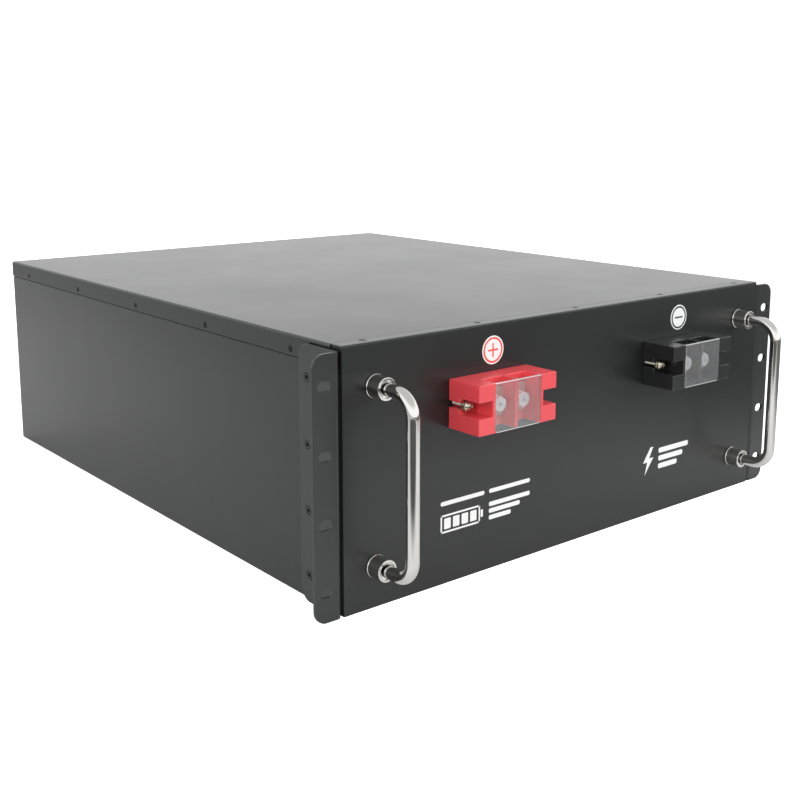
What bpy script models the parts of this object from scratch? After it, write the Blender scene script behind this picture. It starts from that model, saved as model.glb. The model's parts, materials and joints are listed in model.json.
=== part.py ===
"""A rack-mount lithium battery pack, four rack units high, as the separate pieces it comes apart into.

The frame: +Z is up, the front panel faces -Y, and the origin is the centre of the chassis underside.
A terminal block and its pieces are placed from the panel's front face, on the block's own centre.
There a depth is the distance in front of that face, so a depth d lies at y = FRONT_Y - d.
"""

import math

import bmesh
import bpy
from mathutils import Matrix, Vector

# Case, in metres.
BODY_WIDTH = 0.440  # across the side walls
BODY_DEPTH = 0.540  # from the panel's front face to the back of the cover
BODY_HEIGHT = 0.177  # four rack units, less the usual working gap
GAP = 0.0003  # left between pieces that touch
CLEAR = 0.003  # how far a cutter runs past what it cuts
SHEET = 0.0012
COVER_SHEET = 0.0010
PANEL_SHEET = 0.0020
PANEL_BEND = 0.0013
TUB_BEND = 0.0018
COVER_LIP = 0.0142  # how far the cover folds down over the walls
COVER_BEND = 0.0018
LIP_SEAM = 0.0006  # open line between the lip and the wall below it, which lie flush
PANEL_FLANGE = 0.011  # how far the panel folds back over the top
PANEL_INSET = 0.0010  # from each side wall's outer face in to the panel's edge
PANEL_RETURN = 0.018  # how far the panel's inner side flanges reach back
RETURN_ENDS = (0.006, 0.158)  # heights between which those flanges run

# Rack ears.
EAR_SPAN = 0.4826  # panel width of a 19 inch rack
EAR_SHEET = 0.0025
EAR_HEIGHT = 0.174
EAR_TOP_GAP = 0.0006  # between an ear's leg and what is left of the cover's lip above it
EAR_LEG = 0.042  # how far the ear's leg runs back along the side wall
EAR_BEND = 0.0035
EAR_CORNER = 0.009
SLOT_SPAN = 0.4651  # between the left and right slots
SLOT_PITCH = 0.04445  # one rack unit
SLOT_LENGTH = 0.010
SLOT_WIDTH = 0.0068
LEG_HOLE_BACK = 0.0330  # from the front face to the leg's screw holes
LEG_HOLE_DROP = 0.0012  # how far those holes sit below the slots
LEG_HOLE_RADIUS = 0.0022

# Handles.
HANDLE_X = 0.1932
HANDLE_SPAN = 0.120  # between a handle's two feet
HANDLE_REACH = 0.0375  # from the panel to the grip's centre line
HANDLE_RADIUS = 0.0044
HANDLE_BEND = 0.0145
HANDLE_DRILL = (0.0028, 0.012)  # radius and depth of the hole in each end
FERRULE_RADIUS = 0.0075
FERRULE_LENGTH = 0.012
FERRULE_RIM = (0.0079, 0.0008)  # radius and thickness of the rim at the panel
FERRULE_RECESS = (0.0058, 0.0030)  # radius and depth of the recess at the outer end

# Terminal blocks.
POSITIVE_X = -0.0951
NEGATIVE_X = 0.1061
BLOCK_Z = 0.127
BLOCK_WIDTH = 0.0723
BLOCK_HEIGHT = 0.0338
BLOCK_DEPTH = 0.030
BAY_HALF = 0.0203  # half the width over both bays
BAY_WALL = 0.0150  # thickness behind the bays
DIVIDER = 0.0034
SPIGOT_HALF = 0.0150
SPIGOT_Z = (0.003, 0.014)
SPIGOT_BACK = 0.007  # how far the spigot runs back through the panel
SCREW_X = 0.0309  # from the block's centre to its fixing screws
NOTCH_X = 0.0237  # inner end of the notch over a fixing screw
NOTCH_HEIGHT = 0.011
LEDGE = 0.0114  # material left under a fixing screw's head
SCREW_SLOT = 0.0047
COVER_THICK = 0.0015
COVER_FRONT_HALF = 0.0210  # the clear cover is a dovetail, wider at its back
COVER_BACK_HALF = 0.0220
COVER_STOP = 0.0015  # height of the ledges under the cover's wings
PAD_FRONT = 0.0157  # depth of the contact's front face, a little proud of the bays' backs
PAD_THICK = 0.005
PAD_HEIGHT = 0.020
TAIL_HALF = 0.012
TAIL_THICK = 0.003
TAIL_BACK = 0.023  # from the panel's front face to the tail's end
BOLT_X = 0.011
BOLT_RADIUS = 0.003
BOLT_FLATS = 0.010
BOLT_HEAD = 0.0046
BOLT_TIP = 0.002  # depth of the bolt's tip when it is tight
FLAT_WASHER = (0.0062, 0.0016)  # radius and thickness
SPRING_WASHER = (0.0052, 0.0018)
LABEL_RADIUS = 0.0100
LABEL_THICK = 0.0003
LABEL_Z = 0.1583
POSITIVE_LABEL_X = -0.0911
NEGATIVE_LABEL_X = 0.1130

# Cells and what holds them.
CELL_WIDTH = 0.160
CELL_THICK = 0.050
CELL_HEIGHT = 0.1185
CELL_CORNER = 0.003
CELLS_PER_ROW = 8
CELL_PITCH = 0.0506
POST_X = 0.055  # from a cell's middle to its terminal posts
POST_RADIUS = 0.008
POST_HEIGHT = 0.003
REAR_PLATE_Y = 0.2585  # inner face of the rear compression plate
PLATE_THICK = 0.005
STRAP_THICK = 0.0015
STRAP_HOOK = 0.026
STRAP_ENDS = (0.045, 0.075)
BOARD_HALF = 0.157
BOARD_THICK = 0.002
LINK_RISE = 0.0015
LINK_HALF = 0.009
POLE_REACH = 0.012  # how far an end link comes forwards of its cell's middle

# Battery manager and cables.
MANAGER_HALF = 0.090
MANAGER_BACK_Y = -0.172
MANAGER_THICK = 0.018
MANAGER_HEIGHT = 0.100
FIN_COUNT = 11
FIN_REACH = 0.014
FIN_THICK = 0.002
CABLE_RADIUS = 0.0042
CABLE_HIGH_Z = 0.152
LUG_HALF = 0.007
LUG_THICK = 0.003

# Places that follow from the sizes above.
FRONT_Y = -BODY_DEPTH / 2
BACK_Y = BODY_DEPTH / 2
WALL_X = BODY_WIDTH / 2
TUB_TOP_Z = BODY_HEIGHT - PANEL_SHEET - GAP
TUB_STEP_Z = BODY_HEIGHT - COVER_LIP - LIP_SEAM
HANDLE_Z = BODY_HEIGHT / 2
PAD_BACK = PAD_FRONT - PAD_THICK
WASHER_THICK = FLAT_WASHER[1] + SPRING_WASHER[1]
WASHER_BACK = PAD_FRONT + GAP
BOLT_SEAT = WASHER_BACK + WASHER_THICK + GAP
CELL_BASE_Z = SHEET + GAP
CELL_TOP_Z = CELL_BASE_Z + CELL_HEIGHT
ROW_X = CELL_WIDTH / 2 + 0.001
BOARD_Z = CELL_TOP_Z + POST_HEIGHT + GAP
LINK_TOP_Z = BOARD_Z + BOARD_THICK + LINK_RISE
POLE_X = ROW_X - POST_X


def cell_y(index):
    """A cell's centre, counted from the front."""
    return REAR_PLATE_Y - GAP - CELL_THICK / 2 - (CELLS_PER_ROW - 1 - index) * CELL_PITCH


FRONT_PLATE_Y = cell_y(0) - CELL_THICK / 2 - GAP  # inner face of the front compression plate


def clear_scene():
    for obj in list(bpy.data.objects):
        bpy.data.objects.remove(obj, do_unlink=True)


def make_material(name, colour, roughness, metallic=0.0, alpha=1.0):
    material = bpy.data.materials.new(name)
    material.use_nodes = True
    shader = material.node_tree.nodes["Principled BSDF"]
    shader.inputs["Base Color"].default_value = (*colour, 1.0)
    shader.inputs["Roughness"].default_value = roughness
    shader.inputs["Metallic"].default_value = metallic
    shader.inputs["Alpha"].default_value = alpha
    return material


def make_object(name, shape, material, place=(0, 0, 0), parent=None):
    """A named object at place, holding the shape, which is given around the object's own origin."""
    bmesh.ops.recalc_face_normals(shape, faces=shape.faces)
    mesh = bpy.data.meshes.new(name)
    shape.to_mesh(mesh)
    shape.free()
    obj = bpy.data.objects.new(name, mesh)
    bpy.context.scene.collection.objects.link(obj)
    obj.location = place
    obj.parent = parent
    if material is not None:
        mesh.materials.append(material)
        mesh.shade_smooth()
        mesh.set_sharp_from_angle(angle=math.radians(35))
    return obj


def boolean(target, shape, operation):
    tool = make_object(f"{target.name}.tool", shape, None, parent=target)
    tool.hide_render = True
    tool.display_type = "WIRE"
    modifier = target.modifiers.new(operation.lower(), "BOOLEAN")
    modifier.operation = operation
    modifier.object = tool
    modifier.solver = "EXACT"


def cut(target, shape):
    """Takes the shape, in the target's own frame, out of the target."""
    boolean(target, shape, "DIFFERENCE")


def join(target, shape):
    """Adds the shape, in the target's own frame, to the target."""
    boolean(target, shape, "UNION")


def add_box(shape, x, y, z):
    """Adds a box over three ranges, whose ends may come in either order."""
    lows = [min(pair) for pair in (x, y, z)]
    highs = [max(pair) for pair in (x, y, z)]
    centre = Vector([(low + high) / 2 for low, high in zip(lows, highs)])
    size = [high - low for low, high in zip(lows, highs)]
    bmesh.ops.create_cube(shape, size=1.0, matrix=Matrix.Translation(centre) @ Matrix.Diagonal((*size, 1.0)))


def box(x, y, z):
    shape = bmesh.new()
    add_box(shape, x, y, z)
    return shape


def block_box(x, depth, z):
    """A box in a terminal block's frame, from a range of depths in front of the panel."""
    return box(x, (-depth[0], -depth[1]), z)


def add_cylinder(shape, centre, radius, length, axis, segments):
    """Adds a cylinder centred on a point, along the X, Y or Z axis."""
    quarter = math.pi / 2
    turn = {"X": Matrix.Rotation(quarter, 4, "Y"), "Y": Matrix.Rotation(quarter, 4, "X"), "Z": Matrix()}
    matrix = Matrix.Translation(centre) @ turn[axis]
    bmesh.ops.create_cone(
        shape, cap_ends=True, segments=segments, radius1=radius, radius2=radius, depth=length, matrix=matrix
    )


def bevel(shape, edges, width, segments):
    bmesh.ops.bevel(shape, geom=edges, offset=width, segments=segments, profile=0.5, affect="EDGES")


def edges_where(shape, test):
    """The edges whose two ends both pass the test."""
    return [edge for edge in shape.edges if all(test(vert.co) for vert in edge.verts)]


def prism(outline, axis, low, high):
    """The closed outline, pairs in the plane across the axis, extruded from low to high along it."""
    place = {"X": lambda a, b: (low, a, b), "Y": lambda a, b: (a, low, b), "Z": lambda a, b: (a, b, low)}
    step = {"X": (high - low, 0, 0), "Y": (0, high - low, 0), "Z": (0, 0, high - low)}
    shape = bmesh.new()
    face = shape.faces.new([shape.verts.new(place[axis](a, b)) for a, b in outline])
    moved = bmesh.ops.extrude_face_region(shape, geom=[face])
    far_verts = [item for item in moved["geom"] if isinstance(item, bmesh.types.BMVert)]
    bmesh.ops.translate(shape, verts=far_verts, vec=step[axis])
    return shape


def arc(centre, radius, start, end, steps):
    """Points on an arc, angles in degrees, both ends included."""
    angles = [math.radians(start + (end - start) * i / steps) for i in range(steps + 1)]
    return [(centre[0] + radius * math.cos(a), centre[1] + radius * math.sin(a)) for a in angles]


def slot_outline(centre, length, width):
    """An obround whose long side runs along the outline's first direction."""
    half = (length - width) / 2
    right = arc((centre[0] + half, centre[1]), width / 2, -90, 90, 4)
    left = arc((centre[0] - half, centre[1]), width / 2, 90, 270, 4)
    return right + left


def append(shape, other):
    """Adds the other shape's geometry to this one and frees the other."""
    mesh = bpy.data.meshes.new("appended")
    other.to_mesh(mesh)
    other.free()
    shape.from_mesh(mesh)
    bpy.data.meshes.remove(mesh)


def ring(shape, centre, across, up, radius, segments):
    """A ring of vertices about the centre, in the plane of two unit vectors."""
    turns = [2 * math.pi * i / segments for i in range(segments)]
    return [shape.verts.new(centre + (across * math.cos(t) + up * math.sin(t)) * radius) for t in turns]


def lathe(profile, segments):
    """A solid of revolution about the Y axis, from (radius, y) pairs.

    A profile that starts and ends on the axis makes a solid, and any other closes on itself as a ring.
    """
    shape = bmesh.new()
    across, up = Vector((1, 0, 0)), Vector((0, 0, 1))
    rings = []
    for radius, y in profile:
        centre = Vector((0, y, 0))
        if radius:
            rings.append(ring(shape, centre, across, up, radius, segments))
        else:
            rings.append([shape.verts.new(centre)])
    pairs = list(zip(rings, rings[1:]))
    if len(rings[0]) > 1:
        pairs.append((rings[-1], rings[0]))
    for first, second in pairs:
        for i in range(segments):
            near = [first[i % len(first)], first[(i + 1) % len(first)]]
            far = [second[(i + 1) % len(second)], second[i % len(second)]]
            shape.faces.new(list(dict.fromkeys(near + far)))
    return shape


def sweep(path, radius, segments, drill=None):
    """A round bar along the path. A drill, (radius, depth), makes a blind hole in each end."""
    points = [Vector(point) for point in path]
    last = len(points) - 1
    ways = [(points[min(i + 1, last)] - points[max(i - 1, 0)]).normalized() for i in range(last + 1)]
    sections = [(point, radius, way) for point, way in zip(points, ways)]
    if drill is not None:
        hole, depth = drill
        start = [(points[0] + ways[0] * depth, hole, ways[0]), (points[0], hole, ways[0])]
        end = [(points[-1], hole, ways[-1]), (points[-1] - ways[-1] * depth, hole, ways[-1])]
        sections = start + sections + end
    shape = bmesh.new()
    normal = ways[0].orthogonal().normalized()
    rings = []
    for point, size, way in sections:
        normal = (normal - way * normal.dot(way)).normalized()
        rings.append(ring(shape, point, normal, way.cross(normal), size, segments))
    for first, second in zip(rings, rings[1:]):
        for i in range(segments):
            j = (i + 1) % segments
            shape.faces.new([first[i], first[j], second[j], second[i]])
    shape.faces.new(rings[0])
    shape.faces.new(rings[-1])
    return shape


def smooth_path(points, steps=4):
    """A Catmull-Rom curve through the points."""
    knots = [Vector(point) for point in points]
    knots = [2 * knots[0] - knots[1]] + knots + [2 * knots[-1] - knots[-2]]
    path = []
    for a, b, c, d in zip(knots, knots[1:], knots[2:], knots[3:]):
        for i in range(steps):
            t = i / steps
            square = 2 * a - 5 * b + 4 * c - d
            cube = 3 * b - a - 3 * c + d
            path.append((2 * b + (c - a) * t + square * t**2 + cube * t**3) / 2)
    path.append(knots[-2])
    return path


def make_chassis(paint):
    """The tub: floor, side walls and back wall folded from one sheet, open at the front and top.

    Near the top its walls step inwards, so that the cover's lip lies flush with them.
    """
    low_y = FRONT_Y + PANEL_SHEET + GAP
    shape = box((-WALL_X, WALL_X), (low_y, BACK_Y), (0, TUB_TOP_Z))
    folds = edges_where(shape, lambda co: co.z == 0 and co.y > 0)
    for side in (-1, 1):
        folds += edges_where(shape, lambda co: co.z == 0 and co.x * side > 0)
        folds += edges_where(shape, lambda co: co.y > 0 and co.x * side > 0)
    bevel(shape, list(set(folds)), TUB_BEND, 3)
    tub = make_object("chassis_tub", shape, paint)
    step = COVER_SHEET + GAP
    beyond = TUB_TOP_Z + CLEAR
    for inset, z in ((SHEET, (SHEET, TUB_STEP_Z - SHEET)), (SHEET + step, (TUB_STEP_Z / 2, beyond))):
        cut(tub, box((inset - WALL_X, WALL_X - inset), (low_y - CLEAR, BACK_Y - inset), z))
    for side in (-1, 1):
        wide = (side * (WALL_X - step), side * (WALL_X + CLEAR))
        cut(tub, box(wide, (low_y - CLEAR, BACK_Y + CLEAR), (TUB_STEP_Z, beyond)))
    cut(tub, box((-WALL_X, WALL_X), (BACK_Y - step, BACK_Y + CLEAR), (TUB_STEP_Z, beyond)))


def make_top_cover(paint):
    """The lid: one sheet with lips folded down round the stepped walls, the side lips notched above the ears."""
    front = FRONT_Y + PANEL_FLANGE + GAP
    inner_x = WALL_X - COVER_SHEET
    low_z = BODY_HEIGHT - COVER_LIP
    shape = box((-WALL_X, WALL_X), (front, BACK_Y), (low_z, BODY_HEIGHT))
    folds = edges_where(shape, lambda co: co.z > low_z and co.y > 0)
    for side in (-1, 1):
        folds += edges_where(shape, lambda co: co.z > low_z and co.x * side > 0)
    bevel(shape, list(set(folds)), COVER_BEND, 3)
    cover = make_object("top_cover", shape, paint)
    under_z = BODY_HEIGHT - COVER_SHEET
    cut(cover, box((-inner_x, inner_x), (front - CLEAR, BACK_Y - COVER_SHEET), (low_z - CLEAR, under_z)))
    notches = bmesh.new()
    notch_y = (front - CLEAR, FRONT_Y + EAR_LEG - EAR_CORNER)
    for side in (-1, 1):
        wide = (side * (inner_x - CLEAR), side * (WALL_X + CLEAR))
        add_box(notches, wide, notch_y, (low_z - CLEAR, EAR_HEIGHT + EAR_TOP_GAP))
    cut(cover, notches)


def make_front_panel(paint):
    """The front: a plate folded back over the top, with an inner flange down each side."""
    back = FRONT_Y + PANEL_SHEET
    flange_z = BODY_HEIGHT - PANEL_SHEET
    flange_y = FRONT_Y + PANEL_FLANGE
    outline = [(FRONT_Y, 0), (back, 0), (back, flange_z), (flange_y, flange_z), (flange_y, BODY_HEIGHT)]
    outline += arc((FRONT_Y + PANEL_BEND, BODY_HEIGHT - PANEL_BEND), PANEL_BEND, 90, 180, 4)
    panel = make_object("front_panel", prism(outline, "X", PANEL_INSET - WALL_X, WALL_X - PANEL_INSET), paint)
    returns = bmesh.new()
    outer_x = WALL_X - SHEET - GAP
    for side in (-1, 1):
        wide = (side * outer_x, side * (outer_x - SHEET))
        add_box(returns, wide, (FRONT_Y + PANEL_SHEET / 2, FRONT_Y + PANEL_RETURN), RETURN_ENDS)
    join(panel, returns)
    cut(panel, panel_openings())


def panel_openings():
    """Windows for the terminal blocks' spigots, and holes for their screws and the handles' screws."""
    openings = bmesh.new()
    middle = FRONT_Y + PANEL_SHEET / 2
    length = PANEL_SHEET + 2 * CLEAR
    play = 0.0005
    for block_x in (POSITIVE_X, NEGATIVE_X):
        wide = (block_x - SPIGOT_HALF - play, block_x + SPIGOT_HALF + play)
        tall = (BLOCK_Z + SPIGOT_Z[0] - play, BLOCK_Z + SPIGOT_Z[1] + play)
        add_box(openings, wide, (middle - length / 2, middle + length / 2), tall)
    for side in (-1, 1):
        for block_x in (POSITIVE_X, NEGATIVE_X):
            add_cylinder(openings, (block_x + side * SCREW_X, middle, BLOCK_Z), 0.0024, length, "Y", 12)
        for end in (-1, 1):
            centre = (side * HANDLE_X, middle, HANDLE_Z + end * HANDLE_SPAN / 2)
            add_cylinder(openings, centre, HANDLE_DRILL[0], length, "Y", 12)
    return openings


def slot_heights():
    return [EAR_HEIGHT / 2 + SLOT_PITCH * (i - 1.5) for i in range(4)]


def make_rack_ear(name, side, paint):
    """An angle bracket: a leg against the side wall and a slotted ear out to the rack's width."""
    leg_in = WALL_X + GAP
    leg_out = leg_in + EAR_SHEET
    ear_out = EAR_SPAN / 2
    back = FRONT_Y + EAR_LEG
    bend = (leg_in + EAR_BEND, FRONT_Y + EAR_BEND)
    outline = [(leg_out, back), (leg_in, back)] + arc(bend, EAR_BEND, 180, 270, 5)
    outline += [(ear_out, FRONT_Y), (ear_out, FRONT_Y + EAR_SHEET)]
    outline += arc(bend, EAR_BEND - EAR_SHEET, 270, 180, 3)
    ear = make_object(name, prism([(side * x, y) for x, y in outline], "Z", 0, EAR_HEIGHT), paint)

    ear_through = (FRONT_Y - CLEAR, FRONT_Y + EAR_SHEET + CLEAR)
    leg_through = (side * (leg_in - CLEAR / 2), side * (leg_out + CLEAR / 2))
    corners = bmesh.new()
    for up in (-1, 1):
        append(corners, prism(corner_waste(side * ear_out, side, up), "Y", *ear_through))
        append(corners, prism(corner_waste(back, 1, up), "X", *leg_through))
    cut(ear, corners)

    holes = bmesh.new()
    for height in slot_heights():
        slot = slot_outline((side * SLOT_SPAN / 2, height), SLOT_LENGTH, SLOT_WIDTH)
        append(holes, prism(slot, "Y", *ear_through))
        centre = (sum(leg_through) / 2, FRONT_Y + LEG_HOLE_BACK, height - LEG_HOLE_DROP)
        add_cylinder(holes, centre, LEG_HOLE_RADIUS, EAR_SHEET + CLEAR, "X", 10)
    cut(ear, holes)


def corner_waste(edge, outwards, up):
    """What rounding takes off an ear's corner: edge is its outer line, and outwards and up are its way."""
    edge_z = EAR_HEIGHT if up > 0 else 0
    centre = (edge - outwards * EAR_CORNER, edge_z - up * EAR_CORNER)
    quarter = arc((0, 0), EAR_CORNER, 0, 90, 5)
    curve = [(centre[0] + outwards * a, centre[1] + up * b) for a, b in quarter]
    beyond = (edge + outwards * CLEAR, edge_z + up * CLEAR)
    return curve + [(centre[0], beyond[1]), beyond, (beyond[0], centre[1])]


def make_handle(name, side, chrome, steel):
    """A U-shaped grip rod, a ferrule round each foot and a screw into each end from behind the panel."""
    x = side * HANDLE_X
    low, high = HANDLE_Z - HANDLE_SPAN / 2, HANDLE_Z + HANDLE_SPAN / 2
    foot_y = FRONT_Y - GAP
    bend_y = FRONT_Y - HANDLE_REACH + HANDLE_BEND
    lower = arc((bend_y, low + HANDLE_BEND), HANDLE_BEND, 270, 180, 4)
    upper = arc((bend_y, high - HANDLE_BEND), HANDLE_BEND, 180, 90, 4)
    path = [(x, y, z) for y, z in [(foot_y, low)] + lower + upper + [(foot_y, high)]]
    make_object(f"handle_{name}", sweep(path, HANDLE_RADIUS, 14, HANDLE_DRILL), chrome)
    for where, z in (("lower", low), ("upper", high)):
        make_object(f"handle_ferrule_{name}_{where}", ferrule(), chrome, (x, foot_y, z))
        screw = pan_screw(0.0025, 0.012, (0.0045, 0.003))
        make_object(f"handle_screw_{name}_{where}", screw, steel, (x, FRONT_Y + PANEL_SHEET + GAP, z))


def ferrule():
    """A turned collar: a thin rim at the panel, a plain barrel, and a flat ring round a recess at its end."""
    bore, end, chamfer = HANDLE_RADIUS + GAP, -FERRULE_LENGTH, 0.0004
    rim, rim_thick = FERRULE_RIM
    mouth, recess_y = FERRULE_RECESS[0], end + FERRULE_RECESS[1]
    profile = [(bore, 0), (rim, 0), (rim, -rim_thick), (FERRULE_RADIUS, -rim_thick - chamfer)]
    profile += [(FERRULE_RADIUS, end + chamfer), (FERRULE_RADIUS - chamfer, end)]
    profile += [(mouth, end), (mouth, recess_y), (bore, recess_y)]
    return lathe(profile, 16)


def pan_screw(radius, length, head, washer=None):
    """A pan-head screw, seat at the origin, shank towards -Y. Head and washer are (radius, thickness)."""
    head_radius, head_height = head
    profile = [(0, -length), (radius * 0.8, -length), (radius, -length + radius * 0.3), (radius, 0)]
    seat = 0.0
    if washer is not None:
        washer_radius, seat = washer
        profile += [(washer_radius, 0), (washer_radius, seat)]
    profile += [(head_radius, seat), (head_radius, seat + head_height * 0.55)]
    profile += [(head_radius * 0.75, seat + head_height), (0, seat + head_height)]
    return lathe(profile, 12)


def dovetail(slack, front, back, low, high):
    """The clear cover's section, widened by slack all round, between two depths and two heights."""
    slope = (COVER_BACK_HALF - COVER_FRONT_HALF) / COVER_THICK
    front_half = COVER_FRONT_HALF + slack + slope * (BLOCK_DEPTH - front)
    back_half = COVER_FRONT_HALF + slack + slope * (BLOCK_DEPTH - back)
    outline = [(-front_half, -front), (front_half, -front), (back_half, -back), (-back_half, -back)]
    return prism(outline, "Z", low, high)


def make_terminal_block(name, place, plastic):
    """A moulded block with two open bays side by side and a notched lug at each end for its screws."""
    half_w, half_h = BLOCK_WIDTH / 2, BLOCK_HEIGHT / 2
    shape = block_box((-half_w, half_w), (GAP, BLOCK_DEPTH), (-half_h, half_h))
    bevel(shape, list(shape.edges), 0.0005, 1)
    block = make_object(f"{name}_terminal_block", shape, plastic, place)
    join(block, block_box((-SPIGOT_HALF, SPIGOT_HALF), (-SPIGOT_BACK, BAY_WALL / 2), SPIGOT_Z))

    open_front = BLOCK_DEPTH + CLEAR
    tall = (-half_h - CLEAR, half_h + CLEAR)
    cover_back = BLOCK_DEPTH - COVER_THICK - GAP
    bays = bmesh.new()
    for side in (-1, 1):
        append(bays, block_box((side * DIVIDER / 2, side * BAY_HALF), (BAY_WALL, open_front), tall))
    cut(block, bays)
    cut(block, block_box((-BAY_HALF, BAY_HALF), (cover_back, open_front), tall))
    cut(block, dovetail(GAP, open_front, cover_back, -half_h + COVER_STOP - GAP, half_h + CLEAR))

    pad_half = PAD_HEIGHT / 2 + GAP
    cut(block, block_box((-BAY_HALF, BAY_HALF), (PAD_BACK - GAP, PAD_FRONT + GAP), (-pad_half, pad_half)))
    tail_half = TAIL_HALF + GAP
    tail_z = (pad_half - TAIL_THICK - 2 * GAP, pad_half)
    cut(block, block_box((-tail_half, tail_half), (-SPIGOT_BACK - CLEAR, PAD_BACK), tail_z))

    bores = bmesh.new()
    bore_end = 0.0012
    for side in (-1, 1):
        centre = (side * BOLT_X, -(PAD_BACK + bore_end) / 2, 0)
        add_cylinder(bores, centre, BOLT_RADIUS + 0.0005, PAD_BACK - bore_end, "Y", 16)
    cut(block, bores)
    for side in (-1, 1):
        beyond = side * (half_w + CLEAR)
        notch_z = (-NOTCH_HEIGHT / 2, NOTCH_HEIGHT / 2)
        cut(block, block_box((side * NOTCH_X, beyond), (LEDGE, open_front), notch_z))
        slot_in = side * (SCREW_X - SCREW_SLOT / 2)
        cut(block, block_box((slot_in, beyond), (-CLEAR, LEDGE + GAP), (-SCREW_SLOT / 2, SCREW_SLOT / 2)))


def make_terminal_plate(name, place, copper):
    """The contact: a pad behind both bolts, its top folded back through the block and the panel."""
    half_w, half_h = BAY_HALF - GAP, PAD_HEIGHT / 2
    outline = [(-PAD_FRONT, -half_h), (-PAD_BACK, -half_h), (-PAD_BACK, half_h - TAIL_THICK)]
    outline += [(TAIL_BACK, half_h - TAIL_THICK), (TAIL_BACK, half_h), (-PAD_FRONT, half_h)]
    plate = make_object(f"{name}_terminal_plate", prism(outline, "X", -half_w, half_w), copper, place)
    beside_tail = bmesh.new()
    for side in (-1, 1):
        wide = (side * TAIL_HALF, side * (half_w + CLEAR))
        add_box(beside_tail, wide, (-PAD_BACK, TAIL_BACK + CLEAR), (0, half_h + CLEAR))
    cut(plate, beside_tail)
    holes = bmesh.new()
    for side in (-1, 1):
        centre = (side * BOLT_X, -(PAD_FRONT + PAD_BACK) / 2, 0)
        add_cylinder(holes, centre, BOLT_RADIUS + 0.0004, PAD_THICK + CLEAR, "Y", 16)
    cut(plate, holes)


def make_bolt(name, x, steel):
    """A hexagon bolt with a cross recess. Its origin is on its axis, at the seat under its head."""
    corner_radius = BOLT_FLATS / 2 / math.cos(math.pi / 6)
    head = bmesh.new()
    add_cylinder(head, (0, -BOLT_HEAD / 2, 0), corner_radius, BOLT_HEAD, "Y", 6)
    bevel(head, edges_where(head, lambda co: co.y < -BOLT_HEAD / 2), 0.0006, 1)
    bolt = make_object(name, head, steel, (x, FRONT_Y - BOLT_SEAT, BLOCK_Z))
    length = BOLT_SEAT - BOLT_TIP
    chamfer = BOLT_RADIUS * 0.2
    profile = [(0, -BOLT_HEAD / 2), (BOLT_RADIUS, -BOLT_HEAD / 2), (BOLT_RADIUS, length - chamfer)]
    join(bolt, lathe(profile + [(BOLT_RADIUS - chamfer, length), (0, length)], 16))
    arm, blade, depth = 0.0028, 0.0009, 0.0016
    for wide, tall in ((blade, arm), (arm, blade)):
        low_y = -BOLT_HEAD - CLEAR
        cut(bolt, box((-wide / 2, wide / 2), (low_y, -BOLT_HEAD + depth), (-tall / 2, tall / 2)))


def make_washer(name, x, steel):
    """A flat washer with a spring washer on it, as the pair that stays on its bolt."""
    bore = BOLT_RADIUS + GAP
    flat_radius, flat_thick = FLAT_WASHER
    spring_radius, spring_thick = SPRING_WASHER
    step, front = -flat_thick, -flat_thick - spring_thick
    profile = [(bore, 0), (flat_radius, 0), (flat_radius, step), (spring_radius, step)]
    profile += [(spring_radius, front), (bore, front)]
    make_object(name, lathe(profile, 16), steel, (x, FRONT_Y - WASHER_BACK, BLOCK_Z))


def make_clear_cover(name, place, clear_plastic):
    """The window that slides down a dovetail in front of both bays, onto a ledge under each wing."""
    half_h = BLOCK_HEIGHT / 2
    cover_back = BLOCK_DEPTH - COVER_THICK
    shape = dovetail(0, BLOCK_DEPTH, cover_back, -half_h, half_h)
    cover = make_object(f"{name}_clear_cover", shape, clear_plastic, place)
    below_wings = bmesh.new()
    for side in (-1, 1):
        wide = (side * (BAY_HALF - GAP), side * (COVER_BACK_HALF + CLEAR))
        deep = (cover_back - CLEAR, BLOCK_DEPTH + CLEAR)
        append(below_wings, block_box(wide, deep, (-half_h - CLEAR, -half_h + COVER_STOP)))
    cut(cover, below_wings)


def make_block_screw(name, x, brass):
    """A block's fixing screw with its washers, its head towards the front."""
    shape = pan_screw(0.0020, LEDGE + 0.0085, (0.0042, 0.0032), washer=(0.0045, 0.0018))
    bmesh.ops.rotate(shape, verts=shape.verts, cent=(0, 0, 0), matrix=Matrix.Rotation(math.pi, 3, "Z"))
    make_object(name, shape, brass, (x, FRONT_Y - LEDGE - GAP, BLOCK_Z))


def make_terminal(name, block_x, plastic, looks):
    """One terminal: the block with its contact, bolts, washers, fixing screws and clear cover."""
    place = (block_x, FRONT_Y, BLOCK_Z)
    make_terminal_block(name, place, plastic)
    make_terminal_plate(name, place, looks["copper"])
    make_clear_cover(name, place, looks["clear"])
    for where, side in (("left", -1), ("right", 1)):
        make_washer(f"{name}_washer_{where}", block_x + side * BOLT_X, looks["steel"])
        make_bolt(f"{name}_bolt_{where}", block_x + side * BOLT_X, looks["steel"])
        make_block_screw(f"{name}_block_screw_{where}", block_x + side * SCREW_X, looks["brass"])


def make_polarity_label(name, x, white):
    """A round sticker above its terminal block."""
    profile = [(0, 0), (LABEL_RADIUS, 0), (LABEL_RADIUS, -LABEL_THICK), (0, -LABEL_THICK)]
    make_object(f"{name}_label", lathe(profile, 28), white, (x, FRONT_Y - GAP / 2, LABEL_Z))


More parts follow.
